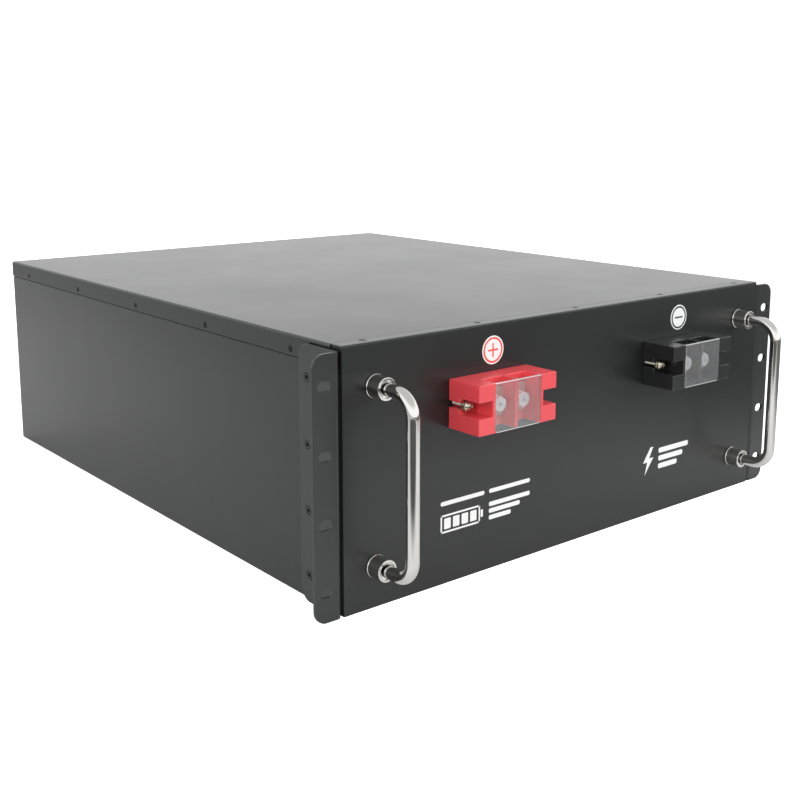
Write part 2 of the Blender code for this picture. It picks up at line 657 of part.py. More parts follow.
def make_cells(can):
    """Prismatic cells in two rows, with their terminal posts on top."""
    half_w, half_t = CELL_WIDTH / 2, CELL_THICK / 2
    for number in range(2 * CELLS_PER_ROW):
        row, index = divmod(number, CELLS_PER_ROW)
        shape = box((-half_w, half_w), (-half_t, half_t), (0, CELL_HEIGHT))
        upright = [edge for edge in shape.edges if edge.verts[0].co.z != edge.verts[1].co.z]
        bevel(shape, upright, CELL_CORNER, 2)
        place = ((2 * row - 1) * ROW_X, cell_y(index), CELL_BASE_Z)
        cell = make_object(f"cell_{number + 1:02d}", shape, can, place)
        posts = bmesh.new()
        for post_x in (-POST_X, POST_X):
            add_cylinder(posts, (post_x, 0, CELL_HEIGHT), POST_RADIUS, 2 * POST_HEIGHT, "Z", 8)
        join(cell, posts)


def make_compression_plate(name, low_y, aluminium):
    """A stiff plate across one end of both cell rows."""
    half_w = ROW_X + CELL_WIDTH / 2
    shape = box((-half_w, half_w), (low_y, low_y + PLATE_THICK), (CELL_BASE_Z, CELL_TOP_Z - 0.004))
    bevel(shape, list(shape.edges), 0.0008, 1)
    make_object(name, shape, aluminium)


def make_strap(name, side, steel):
    """A band along one side of the cells, hooked round both compression plates."""
    inner_x = ROW_X + CELL_WIDTH / 2 + GAP
    outer_x, hook_x = inner_x + STRAP_THICK, inner_x - STRAP_HOOK
    front_in = FRONT_PLATE_Y - PLATE_THICK - GAP
    back_in = REAR_PLATE_Y + PLATE_THICK + GAP
    front_out, back_out = front_in - STRAP_THICK, back_in + STRAP_THICK
    outline = [(hook_x, front_in), (hook_x, front_out), (outer_x, front_out), (outer_x, back_out)]
    outline += [(hook_x, back_out), (hook_x, back_in), (inner_x, back_in), (inner_x, front_in)]
    make_object(name, prism([(side * x, y) for x, y in outline], "Z", *STRAP_ENDS), steel)


def make_busbar_board(board_plastic):
    """The carrier over the cells, with the links that join them in series riveted to it."""
    inset = 0.002
    front_y = cell_y(0) - CELL_THICK / 2 + inset
    back_y = cell_y(CELLS_PER_ROW - 1) + CELL_THICK / 2 - inset
    shape = box((-BOARD_HALF, BOARD_HALF), (front_y, back_y), (BOARD_Z, BOARD_Z + BOARD_THICK))
    board = make_object("busbar_board", shape, board_plastic)
    links = bmesh.new()
    height = (BOARD_Z + BOARD_THICK / 2, LINK_TOP_Z)
    reach = CELL_PITCH / 2 + LINK_HALF
    for side in (-1, 1):
        for index in range(CELLS_PER_ROW - 1):
            outer = 1 if index % 2 == 0 else -1
            x = side * (ROW_X + outer * POST_X)
            middle = (cell_y(index) + cell_y(index + 1)) / 2
            add_box(links, (x - LINK_HALF, x + LINK_HALF), (middle - reach, middle + reach), height)
        pole_x = (side * POLE_X - LINK_HALF, side * POLE_X + LINK_HALF)
        add_box(links, pole_x, (cell_y(0) - POLE_REACH, cell_y(0) + LINK_HALF), height)
    bridge_x, last_y = POLE_X + LINK_HALF, cell_y(CELLS_PER_ROW - 1)
    add_box(links, (-bridge_x, bridge_x), (last_y - LINK_HALF, last_y + LINK_HALF), height)
    join(board, links)


def make_battery_manager(aluminium):
    """The protection unit behind the front panel: a potted board whose heat sink's fins face forwards."""
    low_y = MANAGER_BACK_Y - MANAGER_THICK
    top_z = CELL_BASE_Z + MANAGER_HEIGHT
    shape = box((-MANAGER_HALF, MANAGER_HALF), (low_y, MANAGER_BACK_Y), (CELL_BASE_Z, top_z))
    bevel(shape, list(shape.edges), 0.0008, 1)
    unit = make_object("battery_manager", shape, aluminium)
    fins = bmesh.new()
    inset = 0.005
    reach = MANAGER_HALF - inset - FIN_THICK / 2
    for i in range(FIN_COUNT):
        x = reach * (2 * i / (FIN_COUNT - 1) - 1)
        wide = (x - FIN_THICK / 2, x + FIN_THICK / 2)
        add_box(fins, wide, (low_y - FIN_REACH, low_y + FIN_THICK), (CELL_BASE_Z + inset, top_z - inset))
    join(unit, fins)


def make_cable(name, points, lugs, insulation):
    """A cable along a smooth path, with a flat crimped lug at each end, its underside at the given place."""
    cable = make_object(name, sweep(smooth_path(points), CABLE_RADIUS, 8), insulation)
    for x, y, z in lugs:
        join(cable, box((x - LUG_HALF, x + LUG_HALF), (y - LUG_HALF, y + LUG_HALF), (z, z + LUG_THICK)))


def make_cables(red, black):
    """The heavy cables: cells to positive terminal, negative terminal to manager, manager to cells."""
    tail_y = FRONT_Y + TAIL_BACK - LUG_HALF - GAP
    tail_z = BLOCK_Z + PAD_HEIGHT / 2 + GAP
    pole_y, pole_z = cell_y(0) - 0.004, LINK_TOP_Z + GAP
    foot_y, foot_z = MANAGER_BACK_Y - MANAGER_THICK / 2, CELL_BASE_Z + MANAGER_HEIGHT + GAP
    output_x, input_x = 0.062, 0.010
    lie = LUG_THICK + CABLE_RADIUS * 0.7
    positive_pole, negative_pole = (-POLE_X, pole_y, pole_z), (POLE_X, pole_y, pole_z)
    positive_tail, negative_tail = (POSITIVE_X, tail_y, tail_z), (NEGATIVE_X, tail_y, tail_z)
    output, feed = (output_x, foot_y, foot_z), (input_x, foot_y, foot_z)

    def on(lug, rise, forwards=0.0):
        return (lug[0], lug[1] - forwards, lug[2] + rise)

    start = on(positive_tail, lie, -0.002)
    route = [start, (POSITIVE_X + 0.004, -0.225, CABLE_HIGH_Z), (-0.055, -0.165, CABLE_HIGH_Z)]
    make_cable("positive_cable", route + [on(positive_pole, lie, 0.004)], [positive_tail, positive_pole], red)

    start = on(negative_tail, lie, -0.002)
    route = [start, (NEGATIVE_X - 0.006, -0.230, CABLE_HIGH_Z), (0.072, -0.195, 0.138)]
    make_cable("negative_cable", route + [on(output, LUG_THICK / 2)], [negative_tail, output], black)

    route = [on(feed, LUG_THICK / 2), (0.011, -0.176, 0.132), (0.019, -0.152, 0.143)]
    make_cable("manager_cable", route + [on(negative_pole, lie, 0.004)], [feed, negative_pole], black)


def main():
    clear_scene()
    paint = make_material("black_powder_coat", (0.055, 0.058, 0.058), 0.55)
    red = make_material("red_moulding", (0.75, 0.05, 0.07), 0.45)
    black = make_material("black_moulding", (0.03, 0.031, 0.032), 0.45)
    white = make_material("white_sticker", (0.9, 0.9, 0.9), 0.4)
    chrome = make_material("bright_chrome", (0.85, 0.85, 0.86), 0.08, metallic=1.0)
    can = make_material("cell_can", (0.70, 0.72, 0.75), 0.35, metallic=1.0)
    board_plastic = make_material("board", (0.05, 0.25, 0.12), 0.5)
    aluminium = make_material("aluminium", (0.65, 0.66, 0.68), 0.4, metallic=1.0)
    steel = make_material("zinc_steel", (0.72, 0.73, 0.75), 0.3, metallic=1.0)
    looks = {
        "steel": steel,
        "copper": make_material("tinned_copper", (0.78, 0.62, 0.50), 0.3, metallic=1.0),
        "brass": make_material("yellow_zinc", (0.70, 0.58, 0.33), 0.3, metallic=1.0),
        "clear": make_material("clear_polycarbonate", (0.9, 0.9, 0.9), 0.05, alpha=0.35),
    }
    make_chassis(paint)
    make_top_cover(paint)
    make_front_panel(paint)
    for name, side in (("left", -1), ("right", 1)):
        make_rack_ear(f"rack_ear_{name}", side, paint)
        make_handle(name, side, chrome, steel)
        make_strap(f"cell_strap_{name}", side, steel)
    make_terminal("positive", POSITIVE_X, red, looks)
    make_terminal("negative", NEGATIVE_X, black, looks)
    make_polarity_label("positive", POSITIVE_LABEL_X, white)
    make_polarity_label("negative", NEGATIVE_LABEL_X, white)
    make_cells(can)
    make_compression_plate("compression_plate_front", FRONT_PLATE_Y - PLATE_THICK, aluminium)
    make_compression_plate("compression_plate_rear", REAR_PLATE_Y, aluminium)
    make_busbar_board(board_plastic)
    make_battery_manager(aluminium)
    red_wire = make_material("red_insulation", (0.6, 0.03, 0.03), 0.5)
    black_wire = make_material("black_insulation", (0.02, 0.02, 0.02), 0.5)
    make_cables(red_wire, black_wire)


main()
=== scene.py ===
"""The looks of a rack-mount battery pack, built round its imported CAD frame.

Everything is in metres in the frame's own axes: +Z up, the front panel facing -Y, the origin on the floor
under the middle of the case. A terminal block's pieces are shaped round the block's centre at the panel's
front face, where a depth d in front of the panel is at y = -d.
"""

import json
import math

import bmesh
import bpy
from mathutils import Matrix, Vector


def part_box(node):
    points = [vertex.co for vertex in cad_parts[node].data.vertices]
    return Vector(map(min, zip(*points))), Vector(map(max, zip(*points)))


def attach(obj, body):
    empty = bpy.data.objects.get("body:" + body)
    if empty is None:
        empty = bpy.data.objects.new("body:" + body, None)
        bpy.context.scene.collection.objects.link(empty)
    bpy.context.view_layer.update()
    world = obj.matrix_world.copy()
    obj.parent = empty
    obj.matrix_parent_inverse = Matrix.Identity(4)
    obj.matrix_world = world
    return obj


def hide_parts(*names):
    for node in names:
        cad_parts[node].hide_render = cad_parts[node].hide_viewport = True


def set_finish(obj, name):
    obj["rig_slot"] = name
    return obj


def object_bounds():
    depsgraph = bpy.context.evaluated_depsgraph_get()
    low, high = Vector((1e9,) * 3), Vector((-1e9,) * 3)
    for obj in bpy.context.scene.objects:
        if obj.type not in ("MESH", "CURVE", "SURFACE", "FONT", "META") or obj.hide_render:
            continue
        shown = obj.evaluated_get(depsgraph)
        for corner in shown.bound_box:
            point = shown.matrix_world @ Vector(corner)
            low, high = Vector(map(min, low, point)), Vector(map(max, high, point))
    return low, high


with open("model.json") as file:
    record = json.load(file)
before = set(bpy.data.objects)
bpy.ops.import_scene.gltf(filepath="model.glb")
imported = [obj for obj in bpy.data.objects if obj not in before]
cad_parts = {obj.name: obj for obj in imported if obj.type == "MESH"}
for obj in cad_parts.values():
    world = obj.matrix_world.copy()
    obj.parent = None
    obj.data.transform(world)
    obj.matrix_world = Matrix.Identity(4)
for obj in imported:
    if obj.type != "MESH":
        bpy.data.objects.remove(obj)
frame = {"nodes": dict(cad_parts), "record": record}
cad_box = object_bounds()

# Sizes the frame gives.
TUB_LOW, TUB_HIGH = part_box("chassis_tub")
COVER_LOW, COVER_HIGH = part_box("top_cover")
PANEL_LOW, PANEL_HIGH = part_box("front_panel")
EAR_LOW, EAR_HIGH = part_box("rack_ear_right")
HANDLE_LOW, HANDLE_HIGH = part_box("handle_right")
HANDLE_RADIUS = (HANDLE_HIGH.x - HANDLE_LOW.x) / 2
FRONT_Y = PANEL_LOW.y
TOP_Z = COVER_HIGH.z

# Sheet metal.
GAP = 0.0003
CLEAR = 0.003
SHEET = 0.0012
COVER_SHEET = 0.0010
COVER_BEND = 0.0018
LIP_SEAM = 0.0006
PANEL_SHEET = 0.0020
PANEL_BEND = 0.0013
PANEL_FLANGE = 0.011
EAR_SHEET = 0.0025
EAR_BEND = 0.0035
EAR_CORNER = 0.009
EAR_TOP_GAP = 0.0006
SLOT_PITCH = 0.04445
SLOT_X = 0.23255
SLOT_LENGTH = 0.010
SLOT_WIDTH = 0.0068
LEG_SCREW_BACK = 0.0330
LEG_SCREW_DROP = 0.0012

# Screws through the sheet metal: radius of the head, and where they sit.
LEG_SCREW = 0.0030
LID_SCREW = 0.0021
LID_SCREW_SLACK = 0.00025
SIDE_SCREW_START = 0.055
SIDE_SCREW_PITCH = 0.1107
SIDE_SCREW_Z = 0.167
FRONT_SCREW_BACK = 0.0078
FRONT_SCREW_PITCH = 0.0985
REAR_SCREW_PITCH = 0.095

# Handles and ferrules.
HANDLE_BEND = 0.0145
FERRULE_RADIUS = 0.0075
FERRULE_LENGTH = 0.012
FERRULE_RIM = (0.0079, 0.0008)
FERRULE_RECESS = (0.0058, 0.0030)

# Terminal blocks. A screw, bolt or washer has its radius and then its thickness.
BLOCK_WIDTH = 0.0723
BLOCK_HEIGHT = 0.0338
BLOCK_DEPTH = 0.030
BAY_HALF = 0.0203
BAY_WALL = 0.0150
DIVIDER = 0.0034
NOTCH_X = 0.0237
NOTCH_HEIGHT = 0.011
LEDGE = 0.0114
SCREW_X = 0.0309
SCREW_SLOT = 0.0047
COVER_THICK = 0.0015
COVER_FRONT_HALF = 0.0210
COVER_BACK_HALF = 0.0220
COVER_STOP = 0.0015
PAD_DEPTHS = (0.0107, 0.0157)  # of the contact's two faces
PAD_HEIGHT = 0.020
BOLT_RADIUS = 0.003
BOLT_FLATS = 0.010
BOLT_HEAD = 0.0046
FLAT_WASHER = (0.0062, 0.0016)
SPRING_WASHER = (0.0052, 0.0018)
FIXING_SHANK = 0.0020
FIXING_WASHER = (0.0045, 0.0008)
FIXING_SPRING = (0.0035, 0.0010)
FIXING_HEAD = (0.0042, 0.0032)
# Painted highlights where a clear cover's edges shine: from and to, out from its middle, and how strongly.
WINDOW_PAINTED_HIGHLIGHT = (BLOCK_HEIGHT / 2 - 0.0008, BLOCK_HEIGHT / 2 - 0.0004, 0.7)
WINDOW_SIDE_PAINTED_HIGHLIGHT = (COVER_FRONT_HALF - 0.0007, COVER_FRONT_HALF - 0.0003, 0.25)
PRINT = 0.00006  # thickness of printed ink
LABEL_RING = (0.90, 0.76)  # its two radii, as shares of the sticker's
LABEL_SIGN = (0.48, 0.065)  # half the length and half the width of its bars, likewise

# The camera, and the colours of the studio.
CAMERA_PLACE = (-0.6230, -0.8220, 0.3157)
CAMERA_YAW = 0.684
CAMERA_PITCH = 0.177
CAMERA_LENS = 51.22
CAMERA_SHIFT = -0.10
WORLD_LIGHT = 1.30
ZENITH_LIGHT = 0.55  # share of it left overhead
FLOOR_HALF = 40.0
FLOOR_GLOW = 1.0  # seen by the camera alone

# How the floor darkens, painted shade that the case's faces mirror: where each fade starts and ends, in
# metres, and the share that is left.
CAMERA_FADE = (0.59, 0.44, 0.05)  # from the point under the camera
RIGHT_FADE = (0.30, 0.80, 0.08)
RIGHT_WAY = (0.80, -0.60)
LEFT_FADE = (0.25, 0.85, 0.50)
LEFT_WAY = (-1.0, 0.0)
WORLD_FADE = (0.35, 0.75)  # the heights of the sky, from 0 to 1, between which it dims


# Shapes.


def add_box(shape, x, y, z):
    """Adds a box over three ranges, whose ends may come in either order."""
    lows = [min(pair) for pair in (x, y, z)]
    highs = [max(pair) for pair in (x, y, z)]
    centre = Vector([(low + high) / 2 for low, high in zip(lows, highs)])
    size = [high - low for low, high in zip(lows, highs)]
    matrix = Matrix.Translation(centre) @ Matrix.Diagonal((*size, 1.0))
    bmesh.ops.create_cube(shape, size=1.0, matrix=matrix)


def box(x, y, z):
    shape = bmesh.new()
    add_box(shape, x, y, z)
    return shape


def block_box(x, depth, z):
    """A box in a terminal block's frame, from a range of depths in front of the panel."""
    return box(x, (-depth[0], -depth[1]), z)


def add_cylinder(shape, centre, radius, length, axis, segments=32):
    """Adds a cylinder centred on a point, along the X, Y or Z axis."""
    quarter = math.pi / 2
    turn = {"X": Matrix.Rotation(quarter, 4, "Y"), "Y": Matrix.Rotation(quarter, 4, "X"), "Z": Matrix()}
    matrix = Matrix.Translation(centre) @ turn[axis]
    bmesh.ops.create_cone(
        shape, cap_ends=True, segments=segments, radius1=radius, radius2=radius, depth=length, matrix=matrix
    )


def bevel(shape, edges, width, segments):
    bmesh.ops.bevel(shape, geom=edges, offset=width, segments=segments, profile=0.5, affect="EDGES")


def edges_where(shape, test):
    """The edges whose two ends both pass the test."""
    return [edge for edge in shape.edges if all(test(vert.co) for vert in edge.verts)]


def prism(outline, axis, low, high):
    """The closed outline, pairs in the plane across the axis, extruded from low to high along it."""
    place = {"X": lambda a, b: (low, a, b), "Y": lambda a, b: (a, low, b), "Z": lambda a, b: (a, b, low)}
    step = {"X": (high - low, 0, 0), "Y": (0, high - low, 0), "Z": (0, 0, high - low)}
    shape = bmesh.new()
    face = shape.faces.new([shape.verts.new(place[axis](a, b)) for a, b in outline])
    moved = bmesh.ops.extrude_face_region(shape, geom=[face])
    far_verts = [item for item in moved["geom"] if isinstance(item, bmesh.types.BMVert)]
    bmesh.ops.translate(shape, verts=far_verts, vec=step[axis])
    return shape


def arc(centre, radius, start, end, steps):
    """Points on an arc, angles in degrees, both ends included."""
    angles = [math.radians(start + (end - start) * i / steps) for i in range(steps + 1)]
    return [(centre[0] + radius * math.cos(a), centre[1] + radius * math.sin(a)) for a in angles]


def slot_outline(centre, length, width):
    """An obround whose long side runs along the outline's first direction."""
    half = (length - width) / 2
    right = arc((centre[0] + half, centre[1]), width / 2, -90, 90, 12)
    left = arc((centre[0] - half, centre[1]), width / 2, 90, 270, 12)
    return right + left


def rounded_outline(low, high, radius):
    """A rectangle with rounded corners between two opposite corners."""
    points = []
    corners = [(high[0], high[1], 0), (low[0], high[1], 90), (low[0], low[1], 180), (high[0], low[1], 270)]
    middle = ((low[0] + high[0]) / 2, (low[1] + high[1]) / 2)
    for a, b, start in corners:
        centre = (a - math.copysign(radius, a - middle[0]), b - math.copysign(radius, b - middle[1]))
        points += arc(centre, radius, start, start + 90, 8)
    return points


def append(shape, other):
    """Adds the other shape's geometry to this one and frees the other."""
    mesh = bpy.data.meshes.new("appended")
    other.to_mesh(mesh)
    other.free()
    shape.from_mesh(mesh)
    bpy.data.meshes.remove(mesh)


def ring(shape, centre, across, up, radius, segments):
    """A ring of vertices about the centre, in the plane of two unit vectors."""
    turns = [2 * math.pi * i / segments for i in range(segments)]
    return [shape.verts.new(centre + (across * math.cos(t) + up * math.sin(t)) * radius) for t in turns]


def lathe(profile, segments=48):
    """A solid of revolution about the Y axis, from (radius, y) pairs.

    A profile that starts and ends on the axis makes a solid, and any other closes on itself as a ring.
    """
    shape = bmesh.new()
    across, up = Vector((1, 0, 0)), Vector((0, 0, 1))
    rings = []
    for radius, y in profile:
        centre = Vector((0, y, 0))
        if radius:
            rings.append(ring(shape, centre, across, up, radius, segments))
        else:
            rings.append([shape.verts.new(centre)])
    pairs = list(zip(rings, rings[1:]))
    if len(rings[0]) > 1:
        pairs.append((rings[-1], rings[0]))
    for first, second in pairs:
        for i in range(segments):
            near = [first[i % len(first)], first[(i + 1) % len(first)]]
            far = [second[(i + 1) % len(second)], second[i % len(second)]]
            shape.faces.new(list(dict.fromkeys(near + far)))
    return shape


def sweep(path, radius, segments=40):
    """A round bar along the path."""
    points = [Vector(point) for point in path]
    last = len(points) - 1
    ways = [(points[min(i + 1, last)] - points[max(i - 1, 0)]).normalized() for i in range(last + 1)]
    shape = bmesh.new()
    normal = ways[0].orthogonal().normalized()
    rings = []
    for point, way in zip(points, ways):
        normal = (normal - way * normal.dot(way)).normalized()
        rings.append(ring(shape, point, normal, way.cross(normal), radius, segments))
    for first, second in zip(rings, rings[1:]):
        for i in range(segments):
            j = (i + 1) % segments
            shape.faces.new([first[i], first[j], second[j], second[i]])
    shape.faces.new(rings[0])
    shape.faces.new(rings[-1])
    return shape


# Pieces.


def make_piece(name, shape, material, slot, place=(0, 0, 0), body="case"):
    """A named object at place, holding the shape, that moves with the body."""
    bmesh.ops.recalc_face_normals(shape, faces=shape.faces)
    mesh = bpy.data.meshes.new(name)
    shape.to_mesh(mesh)
    shape.free()
    mesh.materials.append(material)
    mesh.shade_smooth()
    mesh.set_sharp_from_angle(angle=math.radians(35))
    piece = bpy.data.objects.new(name, mesh)
    bpy.context.scene.collection.objects.link(piece)
    piece.location = place
    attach(piece, body)
    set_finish(piece, slot)
    return piece


def carve(piece, shape, operation="DIFFERENCE"):
    """Applies a Boolean with the shape, given in the piece's own frame."""
    bmesh.ops.recalc_face_normals(shape, faces=shape.faces)
    mesh = bpy.data.meshes.new("cutter")
    shape.to_mesh(mesh)
    shape.free()
    tool = bpy.data.objects.new("cutter", mesh)
    bpy.context.scene.collection.objects.link(tool)
    tool.matrix_world = piece.matrix_world
    modifier = piece.modifiers.new("carve", "BOOLEAN")
    modifier.operation = operation
    modifier.object = tool
    modifier.solver = "EXACT"
    bake_modifiers(piece)
    bpy.data.objects.remove(tool)
    bpy.data.meshes.remove(mesh)


def bake_modifiers(piece):
    bpy.context.view_layer.update()
    seen = piece.evaluated_get(bpy.context.evaluated_depsgraph_get())
    baked = bpy.data.meshes.new_from_object(seen)
    old = piece.data
    piece.modifiers.clear()
    piece.data = baked
    baked.name = piece.name
    bpy.data.meshes.remove(old)


def soften(piece, width, segments=3, angle=35):
    """Rounds the piece's sharp edges and keeps its flat faces flat."""
    piece.data.shade_smooth()
    modifier = piece.modifiers.new("soften", "BEVEL")
    modifier.width = width
    modifier.segments = segments
    modifier.limit_method = "ANGLE"
    modifier.angle_limit = math.radians(angle)
    modifier.harden_normals = True
    modifier.miter_outer = "MITER_ARC"


def copy_piece(piece, name, place, turn=None):
    """Another piece with the same mesh, on the case."""
    copy = bpy.data.objects.new(name, piece.data)
    bpy.context.scene.collection.objects.link(copy)
    copy.location = place
    if turn is not None:
        copy.rotation_euler = turn
    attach(copy, "case")
    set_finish(copy, piece["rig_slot"])
    return copy


# Materials.


def start_material(name):
    """A new material with its node tree, its Principled node and an Object coordinate socket."""
    material = bpy.data.materials.new(name)
    material.use_nodes = True
    tree = material.node_tree
    coordinates = tree.nodes.new("ShaderNodeTexCoord")
    return material, tree, tree.nodes["Principled BSDF"], coordinates.outputs["Object"]


def noise(tree, vector, scale, detail=4.0, stretch=None):
    """A noise value, from 0 to 1. A stretch, per axis, makes it run along an axis."""
    if stretch is not None:
        mapping = tree.nodes.new("ShaderNodeMapping")
        mapping.inputs["Scale"].default_value = stretch
        tree.links.new(vector, mapping.inputs["Vector"])
        vector = mapping.outputs["Vector"]
    texture = tree.nodes.new("ShaderNodeTexNoise")
    texture.inputs["Scale"].default_value = scale
    texture.inputs["Detail"].default_value = detail
    tree.links.new(vector, texture.inputs["Vector"])
    return texture.outputs["Fac"]


def spread(tree, value, low, high):
    """The value's middle half, 0.3 to 0.7, spread over low to high."""
    node = tree.nodes.new("ShaderNodeMapRange")
    node.inputs["From Min"].default_value = 0.3
    node.inputs["From Max"].default_value = 0.7
    node.inputs["To Min"].default_value = low
    node.inputs["To Max"].default_value = high
    tree.links.new(value, node.inputs["Value"])
    return node.outputs["Result"]


def blend_colours(tree, value, dark, light):
    node = tree.nodes.new("ShaderNodeMix")
    node.data_type = "RGBA"
    node.inputs["A"].default_value = (*dark, 1.0)
    node.inputs["B"].default_value = (*light, 1.0)
    tree.links.new(value, node.inputs["Factor"])
    return node.outputs["Result"]


def add_bump(tree, height, distance, strength=1.0, base=None):
    node = tree.nodes.new("ShaderNodeBump")
    node.inputs["Strength"].default_value = strength
    node.inputs["Distance"].default_value = distance
    tree.links.new(height, node.inputs["Height"])
    if base is not None:
        tree.links.new(base, node.inputs["Normal"])
    return node.outputs["Normal"]


def make_surface(name, dark, light, roughness, grain, metallic=0.0, patch=30.0, stretch=None, ior=1.5):
    """A finish that drifts between two colours and two roughnesses, over a fine grain.

    patch is the scale of the drift, and grain is (scale, depth in metres).
    """
    material, tree, shader, vector = start_material(name)
    drift = spread(tree, noise(tree, vector, patch), 0.0, 1.0)
    fine = noise(tree, vector, grain[0], 3.0, stretch)
    tree.links.new(blend_colours(tree, drift, dark, light), shader.inputs["Base Color"])
    tree.links.new(spread(tree, noise(tree, vector, patch * 2.3), *roughness), shader.inputs["Roughness"])
    tree.links.new(add_bump(tree, fine, grain[1]), shader.inputs["Normal"])
    shader.inputs["Metallic"].default_value = metallic
    shader.inputs["IOR"].default_value = ior
    return material


def make_powder_coat(name, lift):
    """Black powder coat: orange peel a couple of millimetres across under a half-millimetre texture.

    The lift lightens the black.
    """
    material, tree, shader, vector = start_material(name)
    drift = spread(tree, noise(tree, vector, 9.0, 6.0), 0.0, 1.0)
    speckle = spread(tree, noise(tree, vector, 2600.0, 2.0), 0.0, 1.0)
    dark = [lift * part for part in (0.0165, 0.0180, 0.0178)]
    light = [lift * part for part in (0.0205, 0.0220, 0.0218)]
    mottled = blend_colours(tree, drift, dark, light)
    sparkle = tree.nodes.new("ShaderNodeMix")
    sparkle.data_type = "RGBA"
    sparkle.blend_type = "MULTIPLY"
    sparkle.inputs["Factor"].default_value = 0.35
    tree.links.new(mottled, sparkle.inputs["A"])
    tree.links.new(speckle, sparkle.inputs["B"])
    tree.links.new(sparkle.outputs["Result"], shader.inputs["Base Color"])
    tree.links.new(spread(tree, noise(tree, vector, 14.0, 5.0), 0.29, 0.32), shader.inputs["Roughness"])
    peel = add_bump(tree, noise(tree, vector, 420.0, 2.0), 0.00002)
    grain = add_bump(tree, noise(tree, vector, 1900.0, 2.0), 0.00002, base=peel)
    tree.links.new(grain, shader.inputs["Normal"])
    shader.inputs["IOR"].default_value = 1.52
    return material


def calculate(tree, operation, first, second):
    """A Math node on two values, each a socket or a number."""
    node = tree.nodes.new("ShaderNodeMath")
    node.operation = operation
    for socket, value in zip(node.inputs, (first, second)):
        if isinstance(value, float):
            socket.default_value = value
        else:
            tree.links.new(value, socket)
    return node.outputs[0]


def fade(tree, value, start, end, low):
    """1 up to where the value reaches start, then falling smoothly to low, which it keeps beyond end.

    An end under the start makes it fall as the value shrinks.
    """
    node = tree.nodes.new("ShaderNodeMapRange")
    node.interpolation_type = "SMOOTHSTEP"
    node.inputs["From Min"].default_value = start
    node.inputs["From Max"].default_value = end
    node.inputs["To Min"].default_value = 1.0
    node.inputs["To Max"].default_value = low
    tree.links.new(value, node.inputs["Value"])
    return node.outputs["Result"]


def make_clear_plastic():
    """Clear sheet with cloudy sawn edges and painted highlight lines round its front face. Its mirror film
    and its haze are on its outward faces only.
    """
    material, tree, shader, vector = start_material("clear_plastic")
    output = tree.nodes["Material Output"]
    geometry = tree.nodes.new("ShaderNodeNewGeometry")
    outward = calculate(tree, "SUBTRACT", 1.0, geometry.outputs["Backfacing"])
    clear = tree.nodes.new("ShaderNodeBsdfTransparent")
    clear.inputs["Color"].default_value = (0.94, 0.945, 0.945, 1.0)
    haze = tree.nodes.new("ShaderNodeBsdfDiffuse")
    haze.inputs["Color"].default_value = (0.88, 0.90, 0.91, 1.0)
    split = tree.nodes.new("ShaderNodeSeparateXYZ")
    tree.links.new(geometry.outputs["True Normal"], split.inputs[0])
    facing = calculate(tree, "ABSOLUTE", split.outputs["Y"], 0.0)
    edge = calculate(tree, "MULTIPLY", calculate(tree, "SUBTRACT", 1.0, facing), 0.75)
    place = tree.nodes.new("ShaderNodeSeparateXYZ")
    tree.links.new(vector, place.inputs[0])
    height = calculate(tree, "ABSOLUTE", place.outputs["Z"], 0.0)
    width = calculate(tree, "ABSOLUTE", place.outputs["X"], 0.0)
    # Painted highlights: milky lines along the front face's top, bottom and side edges.
    for distance, line in ((height, WINDOW_PAINTED_HIGHLIGHT), (width, WINDOW_SIDE_PAINTED_HIGHLIGHT)):
        start, end, strength = line
        beyond = calculate(tree, "SUBTRACT", 1.0, fade(tree, distance, start, end, 0.0))
        edge = calculate(tree, "MAXIMUM", edge, calculate(tree, "MULTIPLY", beyond, strength))
    cloud = spread(tree, noise(tree, vector, 160.0), 0.115, 0.145)
    through = tree.nodes.new("ShaderNodeMixShader")
    milky = calculate(tree, "MAXIMUM", cloud, edge)
    tree.links.new(calculate(tree, "MULTIPLY", milky, outward), through.inputs[0])
    tree.links.new(clear.outputs[0], through.inputs[1])
    tree.links.new(haze.outputs[0], through.inputs[2])
    fresnel = tree.nodes.new("ShaderNodeFresnel")
    fresnel.inputs["IOR"].default_value = 1.58
    mirror = tree.nodes.new("ShaderNodeBsdfGlossy")
    mirror.inputs["Roughness"].default_value = 0.04
    both_faces = calculate(tree, "MULTIPLY", fresnel.outputs[0], 1.8)
    film = tree.nodes.new("ShaderNodeMixShader")
    tree.links.new(calculate(tree, "MULTIPLY", both_faces, outward), film.inputs[0])
    tree.links.new(through.outputs[0], film.inputs[1])
    tree.links.new(mirror.outputs[0], film.inputs[2])
    tree.links.new(film.outputs[0], output.inputs["Surface"])
    tree.nodes.remove(shader)
    return material


def make_moulding(name, dark, light, roughness):
    """Glossy moulded plastic with a fine grain."""
    return make_surface(name, dark, light, roughness, (1400.0, 0.00003), ior=1.75)


def make_ink(name, colour):
    """Printed ink, a little uneven."""
    dark = tuple(0.93 * part for part in colour)
    return make_surface(name, dark, colour, (0.42, 0.52), (3000.0, 0.00001), patch=200.0)


